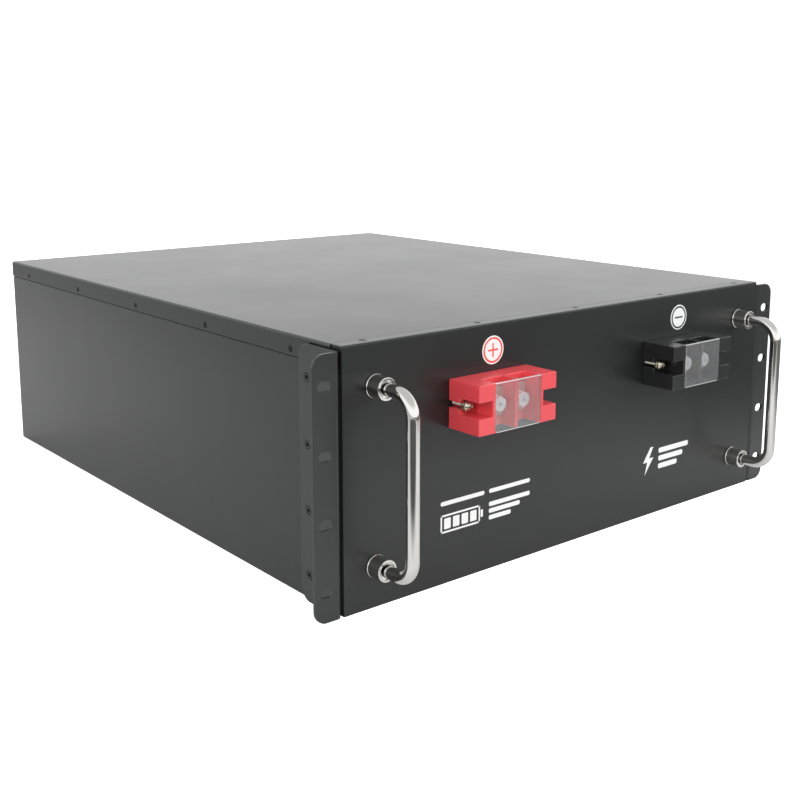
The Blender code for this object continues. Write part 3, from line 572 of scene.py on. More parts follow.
def make_materials():
    """Every finish, by name."""
    return {
        "powder": make_powder_coat("powder_coat", 1.0),
        "ear_powder": make_powder_coat("ear_powder_coat", 1.8),
        "black_screw": make_surface(
            "black_oxide", (0.010, 0.010, 0.011), (0.022, 0.022, 0.023), (0.26, 0.36), (1500.0, 0.00002), 0.6
        ),
        "chrome": make_surface(
            "chrome", (0.68, 0.67, 0.65), (0.77, 0.76, 0.735), (0.07, 0.12), (900.0, 0.000003), 1.0
        ),
        "zinc": make_surface(
            "zinc_plate", (0.80, 0.82, 0.86), (0.92, 0.93, 0.95), (0.18, 0.28), (2400.0, 0.00001), 0.5, 120.0
        ),
        "yellow_zinc": make_surface(
            "yellow_zinc", (0.56, 0.52, 0.43), (0.78, 0.73, 0.62), (0.18, 0.26), (2400.0, 0.00001), 1.0, 260.0
        ),
        "red": make_moulding("red_moulding", (0.75, 0.064, 0.078), (0.81, 0.074, 0.088), (0.28, 0.36)),
        "black": make_moulding(
            "black_moulding", (0.012, 0.0125, 0.013), (0.016, 0.0165, 0.017), (0.22, 0.30)
        ),
        "clear": make_clear_plastic(),
        "sticker": make_surface(
            "sticker", (0.90, 0.90, 0.90), (0.94, 0.94, 0.94), (0.40, 0.48), (2600.0, 0.00001), patch=90.0
        ),
        "red_ink": make_ink("red_ink", (0.86, 0.12, 0.085)),
        "black_ink": make_ink("black_ink", (0.035, 0.035, 0.037)),
        "white_ink": make_ink("white_ink", (0.86, 0.86, 0.86)),
        "contact": make_surface(
            "dull_copper", (0.62, 0.36, 0.32), (0.74, 0.45, 0.40), (0.36, 0.46), (1800.0, 0.00001), 0.2
        ),
        "cell": make_surface(
            "cell_can", (0.62, 0.64, 0.67), (0.72, 0.74, 0.77), (0.30, 0.42), (900.0, 0.00002), 1.0
        ),
        "aluminium": make_surface(
            "aluminium", (0.58, 0.59, 0.60), (0.68, 0.69, 0.70), (0.32, 0.44), (1200.0, 0.00003), 1.0
        ),
        "carrier": make_surface(
            "carrier_board", (0.03, 0.18, 0.09), (0.05, 0.24, 0.12), (0.42, 0.54), (1500.0, 0.00003)
        ),
        "red_wire": make_surface(
            "red_insulation", (0.42, 0.015, 0.015), (0.52, 0.025, 0.02), (0.42, 0.55), (1200.0, 0.00004)
        ),
        "black_wire": make_surface(
            "black_insulation", (0.010, 0.010, 0.010), (0.020, 0.020, 0.020), (0.42, 0.55), (1200.0, 0.00004)
        ),
    }


SLOT_FINISH = {
    "powder_coat": "powder",
    "chrome": "chrome",
    "zinc_steel": "zinc",
    "yellow_zinc": "yellow_zinc",
    "red_moulding": "red",
    "black_moulding": "black",
    "clear_plastic": "clear",
    "sticker": "sticker",
    "contact": "contact",
    "cell_can": "cell",
    "aluminium": "aluminium",
    "carrier": "carrier",
    "red_insulation": "red_wire",
    "black_insulation": "black_wire",
}


def finish_cad_nodes(looks):
    """Gives every carried-over CAD node its slot's finish."""
    for entry in frame["record"]["subparts"]:
        node = frame["nodes"][entry["node"]]
        for slot in node.material_slots:
            slot.material = looks[SLOT_FINISH[entry["material_slot"]]]


# The case.


def slot_heights():
    return [EAR_HIGH.z / 2 + SLOT_PITCH * (i - 1.5) for i in range(4)]


def side_screw_places():
    return [FRONT_Y + SIDE_SCREW_START + SIDE_SCREW_PITCH * i for i in range(5)]


def make_tub(looks):
    """The tub, folded from one sheet. Its walls step inwards near the top, under the cover's lip."""
    shape = box((TUB_LOW.x, TUB_HIGH.x), (TUB_LOW.y, TUB_HIGH.y), (TUB_LOW.z, TUB_HIGH.z))
    folds = edges_where(shape, lambda co: co.z < 0.001 and co.y > 0)
    for side in (-1, 1):
        folds += edges_where(shape, lambda co: co.z < 0.001 and co.x * side > 0)
        folds += edges_where(shape, lambda co: co.y > 0 and co.x * side > 0)
    bevel(shape, list(set(folds)), 0.0018, 8)
    tub = make_piece("case_tub", shape, looks["powder"], "powder_coat")
    step, step_z = COVER_SHEET + GAP, COVER_LOW.z - LIP_SEAM
    beyond = TUB_HIGH.z + CLEAR
    inside = [(SHEET, (SHEET, step_z - SHEET)), (SHEET + step, (step_z / 2, beyond))]
    for inset, z in inside:
        half = TUB_HIGH.x - inset
        carve(tub, box((-half, half), (TUB_LOW.y - CLEAR, TUB_HIGH.y - inset), z))
    for side in (-1, 1):
        wide = (side * (TUB_HIGH.x - step), side * (TUB_HIGH.x + CLEAR))
        carve(tub, box(wide, (TUB_LOW.y - CLEAR, TUB_HIGH.y + CLEAR), (step_z, beyond)))
    carve(tub, box((TUB_LOW.x, TUB_HIGH.x), (TUB_HIGH.y - step, TUB_HIGH.y + CLEAR), (step_z, beyond)))
    soften(tub, 0.0002, 2)
    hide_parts("chassis_tub")


def make_cover(looks):
    """The lid: lips folded over the walls, a relief cut at each rear corner and a hole for each screw."""
    inner_x = COVER_HIGH.x - COVER_SHEET
    shape = box((COVER_LOW.x, COVER_HIGH.x), (COVER_LOW.y, COVER_HIGH.y), (COVER_LOW.z, TOP_Z))
    folds = edges_where(shape, lambda co: co.z > COVER_LOW.z + 0.001 and co.y > 0)
    for side in (-1, 1):
        folds += edges_where(shape, lambda co: co.z > COVER_LOW.z + 0.001 and co.x * side > 0)
    bevel(shape, list(set(folds)), COVER_BEND, 8)
    cover = make_piece("case_cover", shape, looks["powder"], "powder_coat")
    inside_y = (COVER_LOW.y - CLEAR, COVER_HIGH.y - COVER_SHEET)
    carve(cover, box((-inner_x, inner_x), inside_y, (COVER_LOW.z - CLEAR, TOP_Z - COVER_SHEET)))
    waste = bmesh.new()
    notch_y = (COVER_LOW.y - CLEAR, EAR_HIGH.y - EAR_CORNER)
    for side in (-1, 1):
        wide = (side * (inner_x - CLEAR), side * (COVER_HIGH.x + CLEAR))
        add_box(waste, wide, notch_y, (COVER_LOW.z - CLEAR, EAR_HIGH.z + EAR_TOP_GAP))
        corner_x = (side * (inner_x - 0.0012), side * (inner_x - 0.0004))
        corner_y = (COVER_HIGH.y - COVER_SHEET - CLEAR, COVER_HIGH.y + CLEAR)
        add_box(waste, corner_x, corner_y, (COVER_LOW.z - CLEAR, TOP_Z - 0.0016))
        for y in side_screw_places():
            centre = (side * (inner_x + COVER_SHEET), y, SIDE_SCREW_Z)
            add_cylinder(waste, centre, LID_SCREW + LID_SCREW_SLACK, COVER_SHEET * 1.2, "X")
    for i in range(-2, 3):
        centre = (REAR_SCREW_PITCH * i, COVER_HIGH.y, SIDE_SCREW_Z)
        add_cylinder(waste, centre, LID_SCREW + LID_SCREW_SLACK, COVER_SHEET * 1.2, "Y")
    carve(cover, waste)
    soften(cover, 0.00022, 2)
    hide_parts("top_cover")


def make_front_panel(looks):
    """The front plate, folded back over the top, with its screw holes and the blocks' windows."""
    back = FRONT_Y + PANEL_SHEET
    flange_z = TOP_Z - PANEL_SHEET
    flange_y = FRONT_Y + PANEL_FLANGE
    outline = [(FRONT_Y, 0), (back, 0), (back, flange_z), (flange_y, flange_z), (flange_y, TOP_Z)]
    outline += arc((FRONT_Y + PANEL_BEND, TOP_Z - PANEL_BEND), PANEL_BEND, 90, 180, 10)
    shape = prism(outline, "X", PANEL_LOW.x, PANEL_HIGH.x)
    panel = make_piece("case_front", shape, looks["powder"], "powder_coat")
    openings = bmesh.new()
    for i in range(-2, 3):
        centre = (FRONT_SCREW_PITCH * i, FRONT_Y + FRONT_SCREW_BACK, TOP_Z)
        add_cylinder(openings, centre, LID_SCREW + LID_SCREW_SLACK, PANEL_SHEET, "Z")
    for name in ("positive", "negative"):
        centre = block_place(name)
        middle_z = centre[2] + 0.0085
        wide = (centre[0] - 0.0155, centre[0] + 0.0155)
        add_box(openings, wide, (FRONT_Y - CLEAR, back + CLEAR), (middle_z - 0.006, middle_z + 0.006))
    carve(panel, openings)
    soften(panel, 0.0003, 3)
    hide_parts("front_panel")


def corner_waste(edge, outwards, up):
    """What rounding takes off an ear's corner: edge is its outer line, and outwards and up are its way."""
    edge_z = EAR_HIGH.z if up > 0 else EAR_LOW.z
    centre = (edge - outwards * EAR_CORNER, edge_z - up * EAR_CORNER)
    quarter = arc((0, 0), EAR_CORNER, 0, 90, 16)
    curve = [(centre[0] + outwards * a, centre[1] + up * b) for a, b in quarter]
    beyond = (edge + outwards * CLEAR, edge_z + up * CLEAR)
    return curve + [(centre[0], beyond[1]), beyond, (beyond[0], centre[1])]


def make_ear(name, side, looks):
    """An angle bracket: a leg against the side wall and a slotted ear out to the rack's width."""
    leg_in, leg_out = EAR_LOW.x, EAR_LOW.x + EAR_SHEET
    back = EAR_HIGH.y
    bend = (leg_in + EAR_BEND, FRONT_Y + EAR_BEND)
    outline = [(leg_out, back), (leg_in, back)] + arc(bend, EAR_BEND, 180, 270, 10)
    outline += [(EAR_HIGH.x, FRONT_Y), (EAR_HIGH.x, FRONT_Y + EAR_SHEET)]
    outline += arc(bend, EAR_BEND - EAR_SHEET, 270, 180, 6)
    shape = prism([(side * x, y) for x, y in outline], "Z", EAR_LOW.z, EAR_HIGH.z)
    ear = make_piece(f"ear_{name}", shape, looks["ear_powder"], "powder_coat")
    ear_through = (FRONT_Y - CLEAR, FRONT_Y + EAR_SHEET + CLEAR)
    leg_through = (side * (leg_in - CLEAR / 2), side * (leg_out + CLEAR / 2))
    waste = bmesh.new()
    for up in (-1, 1):
        append(waste, prism(corner_waste(side * EAR_HIGH.x, side, up), "Y", *ear_through))
        append(waste, prism(corner_waste(back, 1, up), "X", *leg_through))
    for height in slot_heights():
        slot = slot_outline((side * SLOT_X, height), SLOT_LENGTH, SLOT_WIDTH)
        append(waste, prism(slot, "Y", *ear_through))
        centre = (side * leg_out, FRONT_Y + LEG_SCREW_BACK, height - LEG_SCREW_DROP)
        add_cylinder(waste, centre, LEG_SCREW + 0.0001, EAR_SHEET, "X")
    carve(ear, waste)
    soften(ear, 0.0003, 3)
    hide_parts(f"rack_ear_{name}")


def make_flat_screw(name, radius, looks):
    """A low dished screw head facing -Y, its rim at the origin's level, with a cross recess."""
    rim = radius * 0.16
    profile = [(0, 0.0012), (radius, 0.0012), (radius, rim), (radius - rim, 0)]
    profile += [(radius * 0.55, -radius * 0.05), (0, -radius * 0.07)]
    screw = make_piece(name, lathe(profile, 32), looks["black_screw"], "powder_coat")
    arm, blade = radius * 1.15, radius * 0.26
    cross = bmesh.new()
    add_box(cross, (-arm / 2, arm / 2), (-0.001, 0.0006), (-blade / 2, blade / 2))
    carve(screw, cross)
    carve(screw, box((-blade / 2, blade / 2), (-0.001, 0.0006), (-arm / 2, arm / 2)))
    return screw


def make_button_screw(name, radius, looks):
    """A painted button head facing -Y, its rim at the origin's level, with a hexagon socket."""
    rim = radius * 0.12
    profile = [(0, 0.0012), (radius, 0.0012), (radius, rim), (radius - rim, 0)]
    profile += [(radius * 0.60, -radius * 0.04), (0, -radius * 0.05)]
    screw = make_piece(name, lathe(profile, 32), looks["powder"], "powder_coat")
    socket = bmesh.new()
    add_cylinder(socket, (0, 0, 0), radius * 0.52, 0.0020, "Y", 6)
    carve(screw, socket)
    return screw


def make_case_screws(looks):
    """The small black screws: five along each lip of the cover and the panel's flange, four in each ear."""
    sunk = 0.00012
    leg = make_button_screw("ear_screw_left_1", LEG_SCREW, looks)
    lid = make_flat_screw("cover_screw_left_1", LID_SCREW, looks)
    quarter = math.pi / 2
    for name, side in (("left", -1), ("right", 1)):
        turn = (0, 0, side * quarter)
        for i, height in enumerate(slot_heights()):
            x = side * (EAR_LOW.x + EAR_SHEET - sunk)
            place = (x, FRONT_Y + LEG_SCREW_BACK, height - LEG_SCREW_DROP)
            set_screw(leg, f"ear_screw_{name}_{i + 1}", place, turn)
        for i, y in enumerate(side_screw_places()):
            place = (side * (COVER_HIGH.x - sunk), y, SIDE_SCREW_Z)
            set_screw(lid, f"cover_screw_{name}_{i + 1}", place, turn)
    for i in range(5):
        x = FRONT_SCREW_PITCH * (i - 2)
        place = (x, FRONT_Y + FRONT_SCREW_BACK, TOP_Z - sunk)
        set_screw(lid, f"flange_screw_{i + 1}", place, (-quarter, 0, 0))
        place = (REAR_SCREW_PITCH * (i - 2), COVER_HIGH.y - sunk, SIDE_SCREW_Z)
        set_screw(lid, f"rear_screw_{i + 1}", place, (0, 0, 2 * quarter))


def set_screw(screw, name, place, turn):
    """Puts the screw itself in place if it has this name, and otherwise a copy of it."""
    if screw.name == name:
        screw.location = place
        screw.rotation_euler = turn
    else:
        copy_piece(screw, name, place, turn)


# Handles.


def make_handle(name, side, looks):
    """The bent grip rod and the two turned ferrules it stands in."""
    x = side * (HANDLE_LOW.x + HANDLE_HIGH.x) / 2
    low, high = HANDLE_LOW.z + HANDLE_RADIUS, HANDLE_HIGH.z - HANDLE_RADIUS
    foot_y = HANDLE_HIGH.y
    bend_y = HANDLE_LOW.y + HANDLE_RADIUS + HANDLE_BEND
    lower = arc((bend_y, low + HANDLE_BEND), HANDLE_BEND, 270, 180, 20)
    upper = arc((bend_y, high - HANDLE_BEND), HANDLE_BEND, 180, 90, 20)
    path = [(x, y, z) for y, z in [(foot_y, low)] + lower + upper + [(foot_y, high)]]
    grip = make_piece(f"grip_{name}", sweep(path, HANDLE_RADIUS), looks["chrome"], "chrome")
    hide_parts(f"handle_{name}")
    for where, z in (("lower", low), ("upper", high)):
        shape = lathe(ferrule_profile(), 64)
        ferrule = make_piece(f"ferrule_{name}_{where}", shape, looks["chrome"], "chrome", (x, foot_y, z))
        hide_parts(f"handle_ferrule_{name}_{where}")


def ferrule_profile():
    """A thin rim at the panel, a plain barrel and a flat ring round the recess the rod stands in."""
    bore, end, chamfer = HANDLE_RADIUS + 0.0001, -FERRULE_LENGTH, 0.0004
    rim, rim_thick = FERRULE_RIM
    mouth, recess_y = FERRULE_RECESS[0], end + FERRULE_RECESS[1]
    round_off = 0.0003
    profile = [(bore, 0), (rim - round_off, 0), (rim, -round_off), (rim, round_off - rim_thick)]
    profile += [(rim - round_off, -rim_thick)]
    profile += [(FERRULE_RADIUS, -rim_thick - 0.0002), (FERRULE_RADIUS, -rim_thick - 0.0005)]
    profile += [(FERRULE_RADIUS, end + chamfer + 0.0003), (FERRULE_RADIUS, end + chamfer)]
    profile += [(FERRULE_RADIUS - 0.0001, end + 0.0001), (FERRULE_RADIUS - chamfer, end)]
    profile += [(mouth + 0.0001, end), (mouth, end + 0.0002), (mouth, recess_y), (bore, recess_y)]
    return profile


# Terminals.


def block_place(name):
    """The block's centre, on the panel's front face."""
    low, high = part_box(f"{name}_terminal_block")
    return ((low.x + high.x) / 2, FRONT_Y, (low.z + high.z) / 2)


def dovetail(slack, front, back, low, high):
    """The clear cover's section, widened by slack all round, between two depths and two heights."""
    slope = (COVER_BACK_HALF - COVER_FRONT_HALF) / COVER_THICK
    front_half = COVER_FRONT_HALF + slack + slope * (BLOCK_DEPTH - front)
    back_half = COVER_FRONT_HALF + slack + slope * (BLOCK_DEPTH - back)
    outline = [(-front_half, -front), (front_half, -front), (back_half, -back), (-back_half, -back)]
    return prism(outline, "Z", low, high)


def make_block(name, finish, slot, looks):
    """The moulded block: two open bays, the cover's dovetail, and a notched lug at each end."""
    half_w, half_h = BLOCK_WIDTH / 2, BLOCK_HEIGHT / 2
    shape = block_box((-half_w, half_w), (GAP, BLOCK_DEPTH), (-half_h, half_h))
    block = make_piece(f"{name}_block", shape, looks[finish], slot, block_place(name))
    open_front = BLOCK_DEPTH + CLEAR
    tall = (-half_h - CLEAR, half_h + CLEAR)
    cover_back = BLOCK_DEPTH - COVER_THICK - GAP
    for side in (-1, 1):
        carve(block, block_box((side * DIVIDER / 2, side * BAY_HALF), (BAY_WALL, open_front), tall))
    carve(block, block_box((-BAY_HALF, BAY_HALF), (cover_back, open_front), tall))
    carve(block, dovetail(GAP, open_front, cover_back, -half_h + COVER_STOP - GAP, half_h + CLEAR))
    pad_half = PAD_HEIGHT / 2 + GAP
    pad_deep = (PAD_DEPTHS[0] - GAP, PAD_DEPTHS[1] + GAP)
    carve(block, block_box((-BAY_HALF, BAY_HALF), pad_deep, (-pad_half, pad_half)))
    for side in (-1, 1):
        beyond = side * (half_w + CLEAR)
        notch_z = (-NOTCH_HEIGHT / 2, NOTCH_HEIGHT / 2)
        carve(block, block_box((side * NOTCH_X, beyond), (LEDGE, open_front), notch_z))
        slot_in = side * (SCREW_X - SCREW_SLOT / 2)
        slot_z = (-SCREW_SLOT / 2, SCREW_SLOT / 2)
        carve(block, block_box((slot_in, beyond), (-CLEAR, LEDGE + GAP), slot_z))
    soften(block, 0.0005, 3)
    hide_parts(f"{name}_terminal_block")


def make_window(name, looks):
    """The clear cover, with painted highlights along its polished edges."""
    half_h = BLOCK_HEIGHT / 2
    cover_back = BLOCK_DEPTH - COVER_THICK
    shape = dovetail(0, BLOCK_DEPTH, cover_back, -half_h, half_h)
    window = make_piece(
        f"{name}_window", shape, looks["clear"], "clear_plastic", block_place(name), f"{name}_cover"
    )
    below_wings = bmesh.new()
    for side in (-1, 1):
        wide = (side * (BAY_HALF - GAP), side * (COVER_BACK_HALF + CLEAR))
        deep = (cover_back - CLEAR, BLOCK_DEPTH + CLEAR)
        append(below_wings, block_box(wide, deep, (-half_h - CLEAR, -half_h + COVER_STOP)))
    carve(window, below_wings)
    soften(window, 0.0002, 2)
    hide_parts(f"{name}_clear_cover")


def cross_recess(arm, blade, deep):
    """Two crossed slots in a head that faces -Y, between two y levels."""
    return [box((-w / 2, w / 2), deep, (-h / 2, h / 2)) for w, h in ((arm, blade), (blade, arm))]


def thread_profile(radius, start, end, pitch):
    """Ridges from start to end, as (radius, y) pairs."""
    points = []
    for i in range(int((end - start) / pitch)):
        y = start + i * pitch
        points += [(radius * 0.86, y), (radius, y + pitch * 0.5)]
    return points


def make_bolt(name, where, looks):
    """A chamfered hexagon head with a cross recess, on a ridged shank, turning with its own bolt."""
    low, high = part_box(f"{name}_bolt_{where}")
    seat_y = low.y + BOLT_HEAD
    place = ((low.x + high.x) / 2, seat_y, (low.z + high.z) / 2)
    corner = BOLT_FLATS / 2 / math.cos(math.pi / 6)
    head = bmesh.new()
    add_cylinder(head, (0, -BOLT_HEAD / 2, 0), corner, BOLT_HEAD, "Y", 6)
    body = f"{name}_bolt_{where}"
    bolt = make_piece(f"{name}_hex_bolt_{where}", head, looks["zinc"], "zinc_steel", place, body)
    dome = [(0, 0.0005), (corner * 1.05, 0.0005), (corner * 1.05, -BOLT_HEAD + 0.0012)]
    dome += [(BOLT_FLATS / 2 - 0.0002, -BOLT_HEAD), (0, -BOLT_HEAD)]
    carve(bolt, lathe(dome, 64), "INTERSECT")
    for slot in cross_recess(0.0032, 0.0008, (-BOLT_HEAD - CLEAR, -BOLT_HEAD + 0.0016)):
        carve(bolt, slot)
    end = high.y - seat_y
    profile = [(0, -0.001), (BOLT_RADIUS, -0.001), (BOLT_RADIUS, 0.0035)]
    profile += thread_profile(BOLT_RADIUS, 0.0038, end - 0.0008, 0.001)
    carve(bolt, lathe(profile + [(BOLT_RADIUS * 0.75, end), (0, end)], 32), "UNION")
    soften(bolt, 0.00015, 2, 40)
    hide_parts(f"{name}_bolt_{where}")


def make_washers(name, where, looks):
    """A flat washer and a split spring washer on it."""
    low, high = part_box(f"{name}_washer_{where}")
    place = ((low.x + high.x) / 2, high.y, (low.z + high.z) / 2)
    bore = BOLT_RADIUS + 0.0002
    radius, thick = FLAT_WASHER
    shape = lathe([(bore, 0), (radius, 0), (radius, -thick), (bore, -thick)], 64)
    body = f"{name}_washers_{where}"
    flat = make_piece(f"{name}_flat_washer_{where}", shape, looks["zinc"], "zinc_steel", place, body)
    soften(flat, 0.0002, 2)
    spring_radius, spring_thick = SPRING_WASHER
    front = -thick - spring_thick
    shape = lathe([(bore, -thick), (spring_radius, -thick), (spring_radius, front), (bore, front)], 64)
    spring = make_piece(f"{name}_spring_washer_{where}", shape, looks["zinc"], "zinc_steel", place, body)
    slit = prism([(-0.0011, -thick), (-0.0005, -thick), (0.0011, front), (0.0005, front)], "Z", 0, radius)
    carve(spring, slit)
    soften(spring, 0.00015, 2)
    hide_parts(f"{name}_washer_{where}")


def make_block_screw(name, where, looks):
    """A pan-head screw with a cross recess, over a spring washer and a flat washer."""
    low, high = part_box(f"{name}_block_screw_{where}")
    place = ((low.x + high.x) / 2, FRONT_Y - LEDGE - GAP, (low.z + high.z) / 2)
    end = high.y - place[1]
    washer, washer_y = FIXING_WASHER[0], -FIXING_WASHER[1]
    spring, spring_y = FIXING_SPRING[0], washer_y - FIXING_SPRING[1]
    head, head_y = FIXING_HEAD[0], spring_y - FIXING_HEAD[1]
    thread = thread_profile(FIXING_SHANK, 0.001, end - 0.001, 0.0007)
    profile = [(0, end), (FIXING_SHANK * 0.8, end)] + thread[::-1]
    profile += [(FIXING_SHANK, 0), (washer, 0), (washer, washer_y), (spring, washer_y - 0.0001)]
    profile += [(spring + 0.0002, spring_y + 0.0001), (spring - 0.0001, spring_y), (head, spring_y)]
    dome_y = spring_y - 0.0006
    for a, b in arc((0, 0), 1.0, 0, 78.75, 7):
        profile.append((head * a, dome_y + (head_y - dome_y) * b))
    shape = lathe(profile + [(0, head_y)], 40)
    screw = make_piece(f"{name}_fixing_screw_{where}", shape, looks["yellow_zinc"], "yellow_zinc", place)
    for slot in cross_recess(0.0040, 0.0009, (head_y - 0.0010, head_y + 0.0016)):
        carve(screw, slot)
    soften(screw, 0.0001, 2, 50)
    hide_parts(f"{name}_block_screw_{where}")


def make_label(name, ink, looks):
    """The round sticker with its printed ring and sign."""
    low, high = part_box(f"{name}_label")
    place = ((low.x + high.x) / 2, high.y, (low.z + high.z) / 2)
    radius, thick = (high.x - low.x) / 2, high.y - low.y
    shape = lathe([(0, 0), (radius, 0), (radius, -thick), (0, -thick)], 96)
    disc = make_piece(f"{name}_sticker", shape, looks["sticker"], "sticker", place)
    soften(disc, 0.0001, 2)
    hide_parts(f"{name}_label")
    outer, inner = [radius * share for share in LABEL_RING]
    back, front = -thick + PRINT, -thick - PRINT
    shape = lathe([(inner, back), (outer, back), (outer, front), (inner, front)], 96)
    make_piece(f"{name}_sticker_ring", shape, looks[ink], "sticker", place)
    arm, bar = [radius * share for share in LABEL_SIGN]
    sign = box((-arm, arm), (back, front), (-bar, bar))
    if name == "positive":
        outline = [(-arm, -bar), (-bar, -bar), (-bar, -arm), (bar, -arm), (bar, -bar), (arm, -bar)]
        outline += [(-a, -b) for a, b in outline]
        sign = prism(outline, "Y", back, front)
    make_piece(f"{name}_sticker_sign", sign, looks[ink], "sticker", place)


def make_terminal(name, finish, slot, ink, looks):
    make_block(name, finish, slot, looks)
    make_window(name, looks)
    make_label(name, ink, looks)
    for where in ("left", "right"):
        make_washers(name, where, looks)
        make_bolt(name, where, looks)
        make_block_screw(name, where, looks)


# Printed marks.


def make_print(name, outlines, looks):
    """Flat white marks on the panel, from closed outlines of (x, z) in millimetres."""
    shape = bmesh.new()
    for outline in outlines:
        points = [(a / 1000, b / 1000) for a, b in outline]
        append(shape, prism(points, "Y", FRONT_Y + PRINT, FRONT_Y - PRINT))
    make_piece(name, shape, looks["white_ink"], "powder_coat")


def make_prints(looks):
    """In millimetres: a battery symbol with bars under a pair of rules, and a flash beside three bars."""
    left, right = -137.5, -52.0
    rules = [
        rounded_outline((left, 56.0), (-97.0, 59.0), 1.4),
        rounded_outline((-92.5, 56.0), (right, 59.0), 1.4),
    ]
    make_print("printed_rules", rules, looks)
    low, high, line = (left, 36.5), (-101.0, 49.5), 1.3
    sides = [
        rounded_outline(low, (high[0], low[1] + line), 0.6),
        rounded_outline((low[0], high[1] - line), high, 0.6),
        rounded_outline(low, (low[0] + line, high[1]), 0.6),
        rounded_outline((high[0] - line, low[1]), high, 0.6),
    ]
    for number, side in enumerate(sides):
        make_print(f"printed_battery_side_{number + 1}", [side], looks)
    nub = rounded_outline((high[0] + 0.6, 40.3), (high[0] + 2.8, 45.7), 0.6)
    cell_starts = [left + 3.2 + 8.0 * i for i in range(4)]
    charge = [rounded_outline((start, 39.2), (start + 6.0, 46.8), 0.7) for start in cell_starts]
    bar_ends = [(46.3, right), (41.4, -62.0), (36.5, -71.0)]
    bars = [rounded_outline((-92.5, z), (end, z + 3.2), 1.2) for z, end in bar_ends]
    make_print("printed_battery", [nub] + charge, looks)
    make_print("printed_battery_bars", bars, looks)
    flash = [(84.5, 56.0), (76.0, 44.2), (81.2, 44.2), (78.5, 34.0), (88.6, 47.2), (83.2, 47.2), (88.0, 56.0)]
    make_print("printed_flash", [flash], looks)
    stripe_ends = [(49.4, 133.0), (42.9, 126.0), (36.4, 119.0)]
    stripes = [rounded_outline((95.0, z), (end, z + 4.2), 1.6) for z, end in stripe_ends]
    make_print("printed_stripes", stripes, looks)


# Studio.


def measure(tree, vector, operation, level):
    """A place's distance from a level point, or how far it lies along a level direction."""
    node = tree.nodes.new("ShaderNodeVectorMath")
    node.operation = operation
    node.inputs[1].default_value = (*level, 0.0)
    tree.links.new(vector, node.inputs[0])
    return node.outputs["Value"]


def make_floor():
    """Pale paper that looks plain white to the camera, so that it meets the white surround without a horizon.

    Painted shade darkens it under the camera and to both sides, where only the case's reflections show it.
    """
    shape = bmesh.new()
    bmesh.ops.create_grid(shape, x_segments=1, y_segments=1, size=FLOOR_HALF)
    mesh = bpy.data.meshes.new("studio_floor")
    shape.to_mesh(mesh)
    shape.free()
    material, tree, shader, vector = start_material("studio_floor")
    tint = blend_colours(tree, noise(tree, vector, 0.6), (0.84, 0.84, 0.84), (0.87, 0.87, 0.87))
    from_camera = measure(tree, vector, "DISTANCE", CAMERA_PLACE[:2])
    rightness = measure(tree, vector, "DOT_PRODUCT", RIGHT_WAY)
    leftness = measure(tree, vector, "DOT_PRODUCT", LEFT_WAY)
    # Painted shade in the floor's colour, seen only in the case's reflections.
    shade = fade(tree, from_camera, *CAMERA_FADE)
    shade = calculate(tree, "MULTIPLY", shade, fade(tree, rightness, *RIGHT_FADE))
    shade = calculate(tree, "MULTIPLY", shade, fade(tree, leftness, *LEFT_FADE))
    dimmed = tree.nodes.new("ShaderNodeMix")
    dimmed.data_type = "RGBA"
    dimmed.blend_type = "MULTIPLY"
    dimmed.inputs["Factor"].default_value = 1.0
    tree.links.new(tint, dimmed.inputs["A"])
    tree.links.new(shade, dimmed.inputs["B"])
    tree.links.new(dimmed.outputs["Result"], shader.inputs["Base Color"])
    path = tree.nodes.new("ShaderNodeLightPath")
    glow = calculate(tree, "MULTIPLY", path.outputs["Is Camera Ray"], FLOOR_GLOW)
    shader.inputs["Emission Color"].default_value = (1.0, 1.0, 1.0, 1.0)
    tree.links.new(glow, shader.inputs["Emission Strength"])
    shader.inputs["Roughness"].default_value = 0.6
    shader.inputs["Specular IOR Level"].default_value = 0.2
    mesh.materials.append(material)
    floor = bpy.data.objects.new("studio_floor", mesh)
    bpy.context.scene.collection.objects.link(floor)
    floor.location = (0, 0, cad_box[0].z)


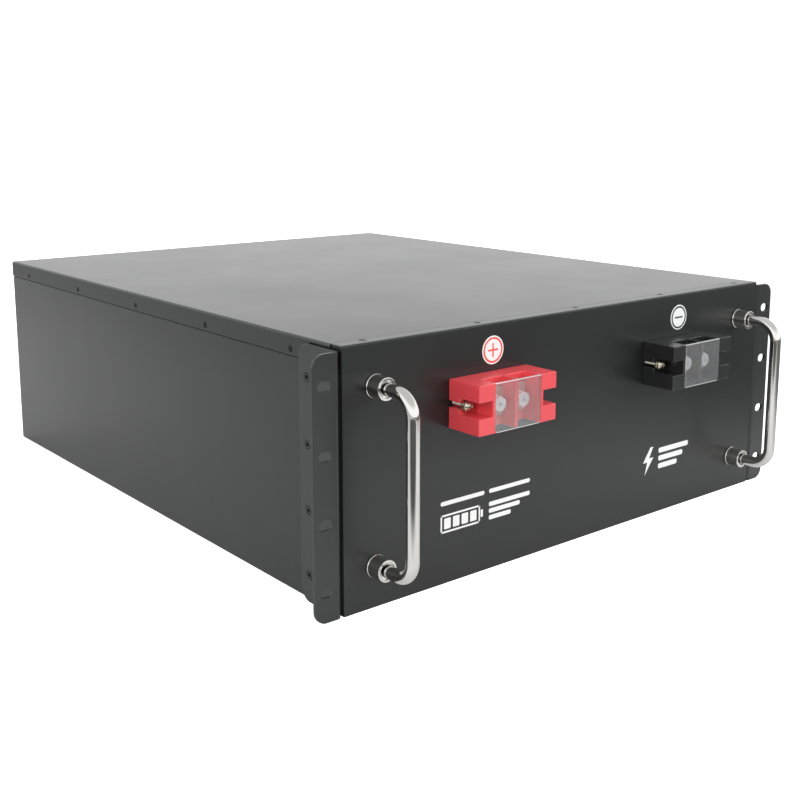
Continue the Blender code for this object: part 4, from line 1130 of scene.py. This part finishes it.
def make_world():
    """A white surround, brightest low down, where the top face mirrors it, and dimmer overhead."""
    world = bpy.data.worlds.new("studio")
    world.use_nodes = True
    tree = world.node_tree
    background = tree.nodes["Background"]
    coordinates = tree.nodes.new("ShaderNodeTexCoord")
    split = tree.nodes.new("ShaderNodeSeparateXYZ")
    tree.links.new(coordinates.outputs["Generated"], split.inputs[0])
    height = fade(tree, split.outputs["Z"], *WORLD_FADE, ZENITH_LIGHT)
    tree.links.new(calculate(tree, "MULTIPLY", height, WORLD_LIGHT), background.inputs["Strength"])
    background.inputs["Color"].default_value = (1.0, 1.0, 1.0, 1.0)
    bpy.context.scene.world = world


def make_light(name, place, target, size, power):
    """A soft lamp that no shiny face mirrors."""
    lamp = bpy.data.lights.new(name, "AREA")
    lamp.shape = "RECTANGLE"
    lamp.size, lamp.size_y = size
    lamp.energy = power
    light = bpy.data.objects.new(name, lamp)
    bpy.context.scene.collection.objects.link(light)
    light.location = place
    light.rotation_euler = (Vector(target) - Vector(place)).to_track_quat("-Z", "Y").to_euler()
    light.visible_glossy = False


def make_camera():
    data = bpy.data.cameras.new("camera")
    data.lens = CAMERA_LENS
    data.sensor_width = 36.0
    data.shift_y = CAMERA_SHIFT
    data.clip_start = 0.01
    camera = bpy.data.objects.new("camera", data)
    bpy.context.scene.collection.objects.link(camera)
    level = math.cos(CAMERA_PITCH)
    forward = Vector((math.sin(CAMERA_YAW) * level, math.cos(CAMERA_YAW) * level, -math.sin(CAMERA_PITCH)))
    camera.location = CAMERA_PLACE
    camera.rotation_euler = forward.to_track_quat("-Z", "Y").to_euler()
    bpy.context.scene.camera = camera


def make_studio():
    make_floor()
    make_world()
    make_light("key", (1.5, -1.7, 1.1), (0, -0.2, 0.1), (1.2, 1.2), 22.0)
    make_light("fill", (-2.2, -0.9, 1.0), (0, -0.2, 0.1), (1.2, 1.2), 16.0)
    make_light("top", (0.2, 0.3, 2.6), (0, 0, 0), (2.6, 2.6), 8.0)
    make_camera()
    bpy.context.scene.view_settings.view_transform = "Standard"


def main():
    looks = make_materials()
    finish_cad_nodes(looks)
    make_tub(looks)
    make_cover(looks)
    make_front_panel(looks)
    for name, side in (("left", -1), ("right", 1)):
        make_ear(name, side, looks)
        make_handle(name, side, looks)
    make_case_screws(looks)
    make_terminal("positive", "red", "red_moulding", "red_ink", looks)
    make_terminal("negative", "black", "black_moulding", "black_ink", looks)
    make_prints(looks)
    make_studio()


main()
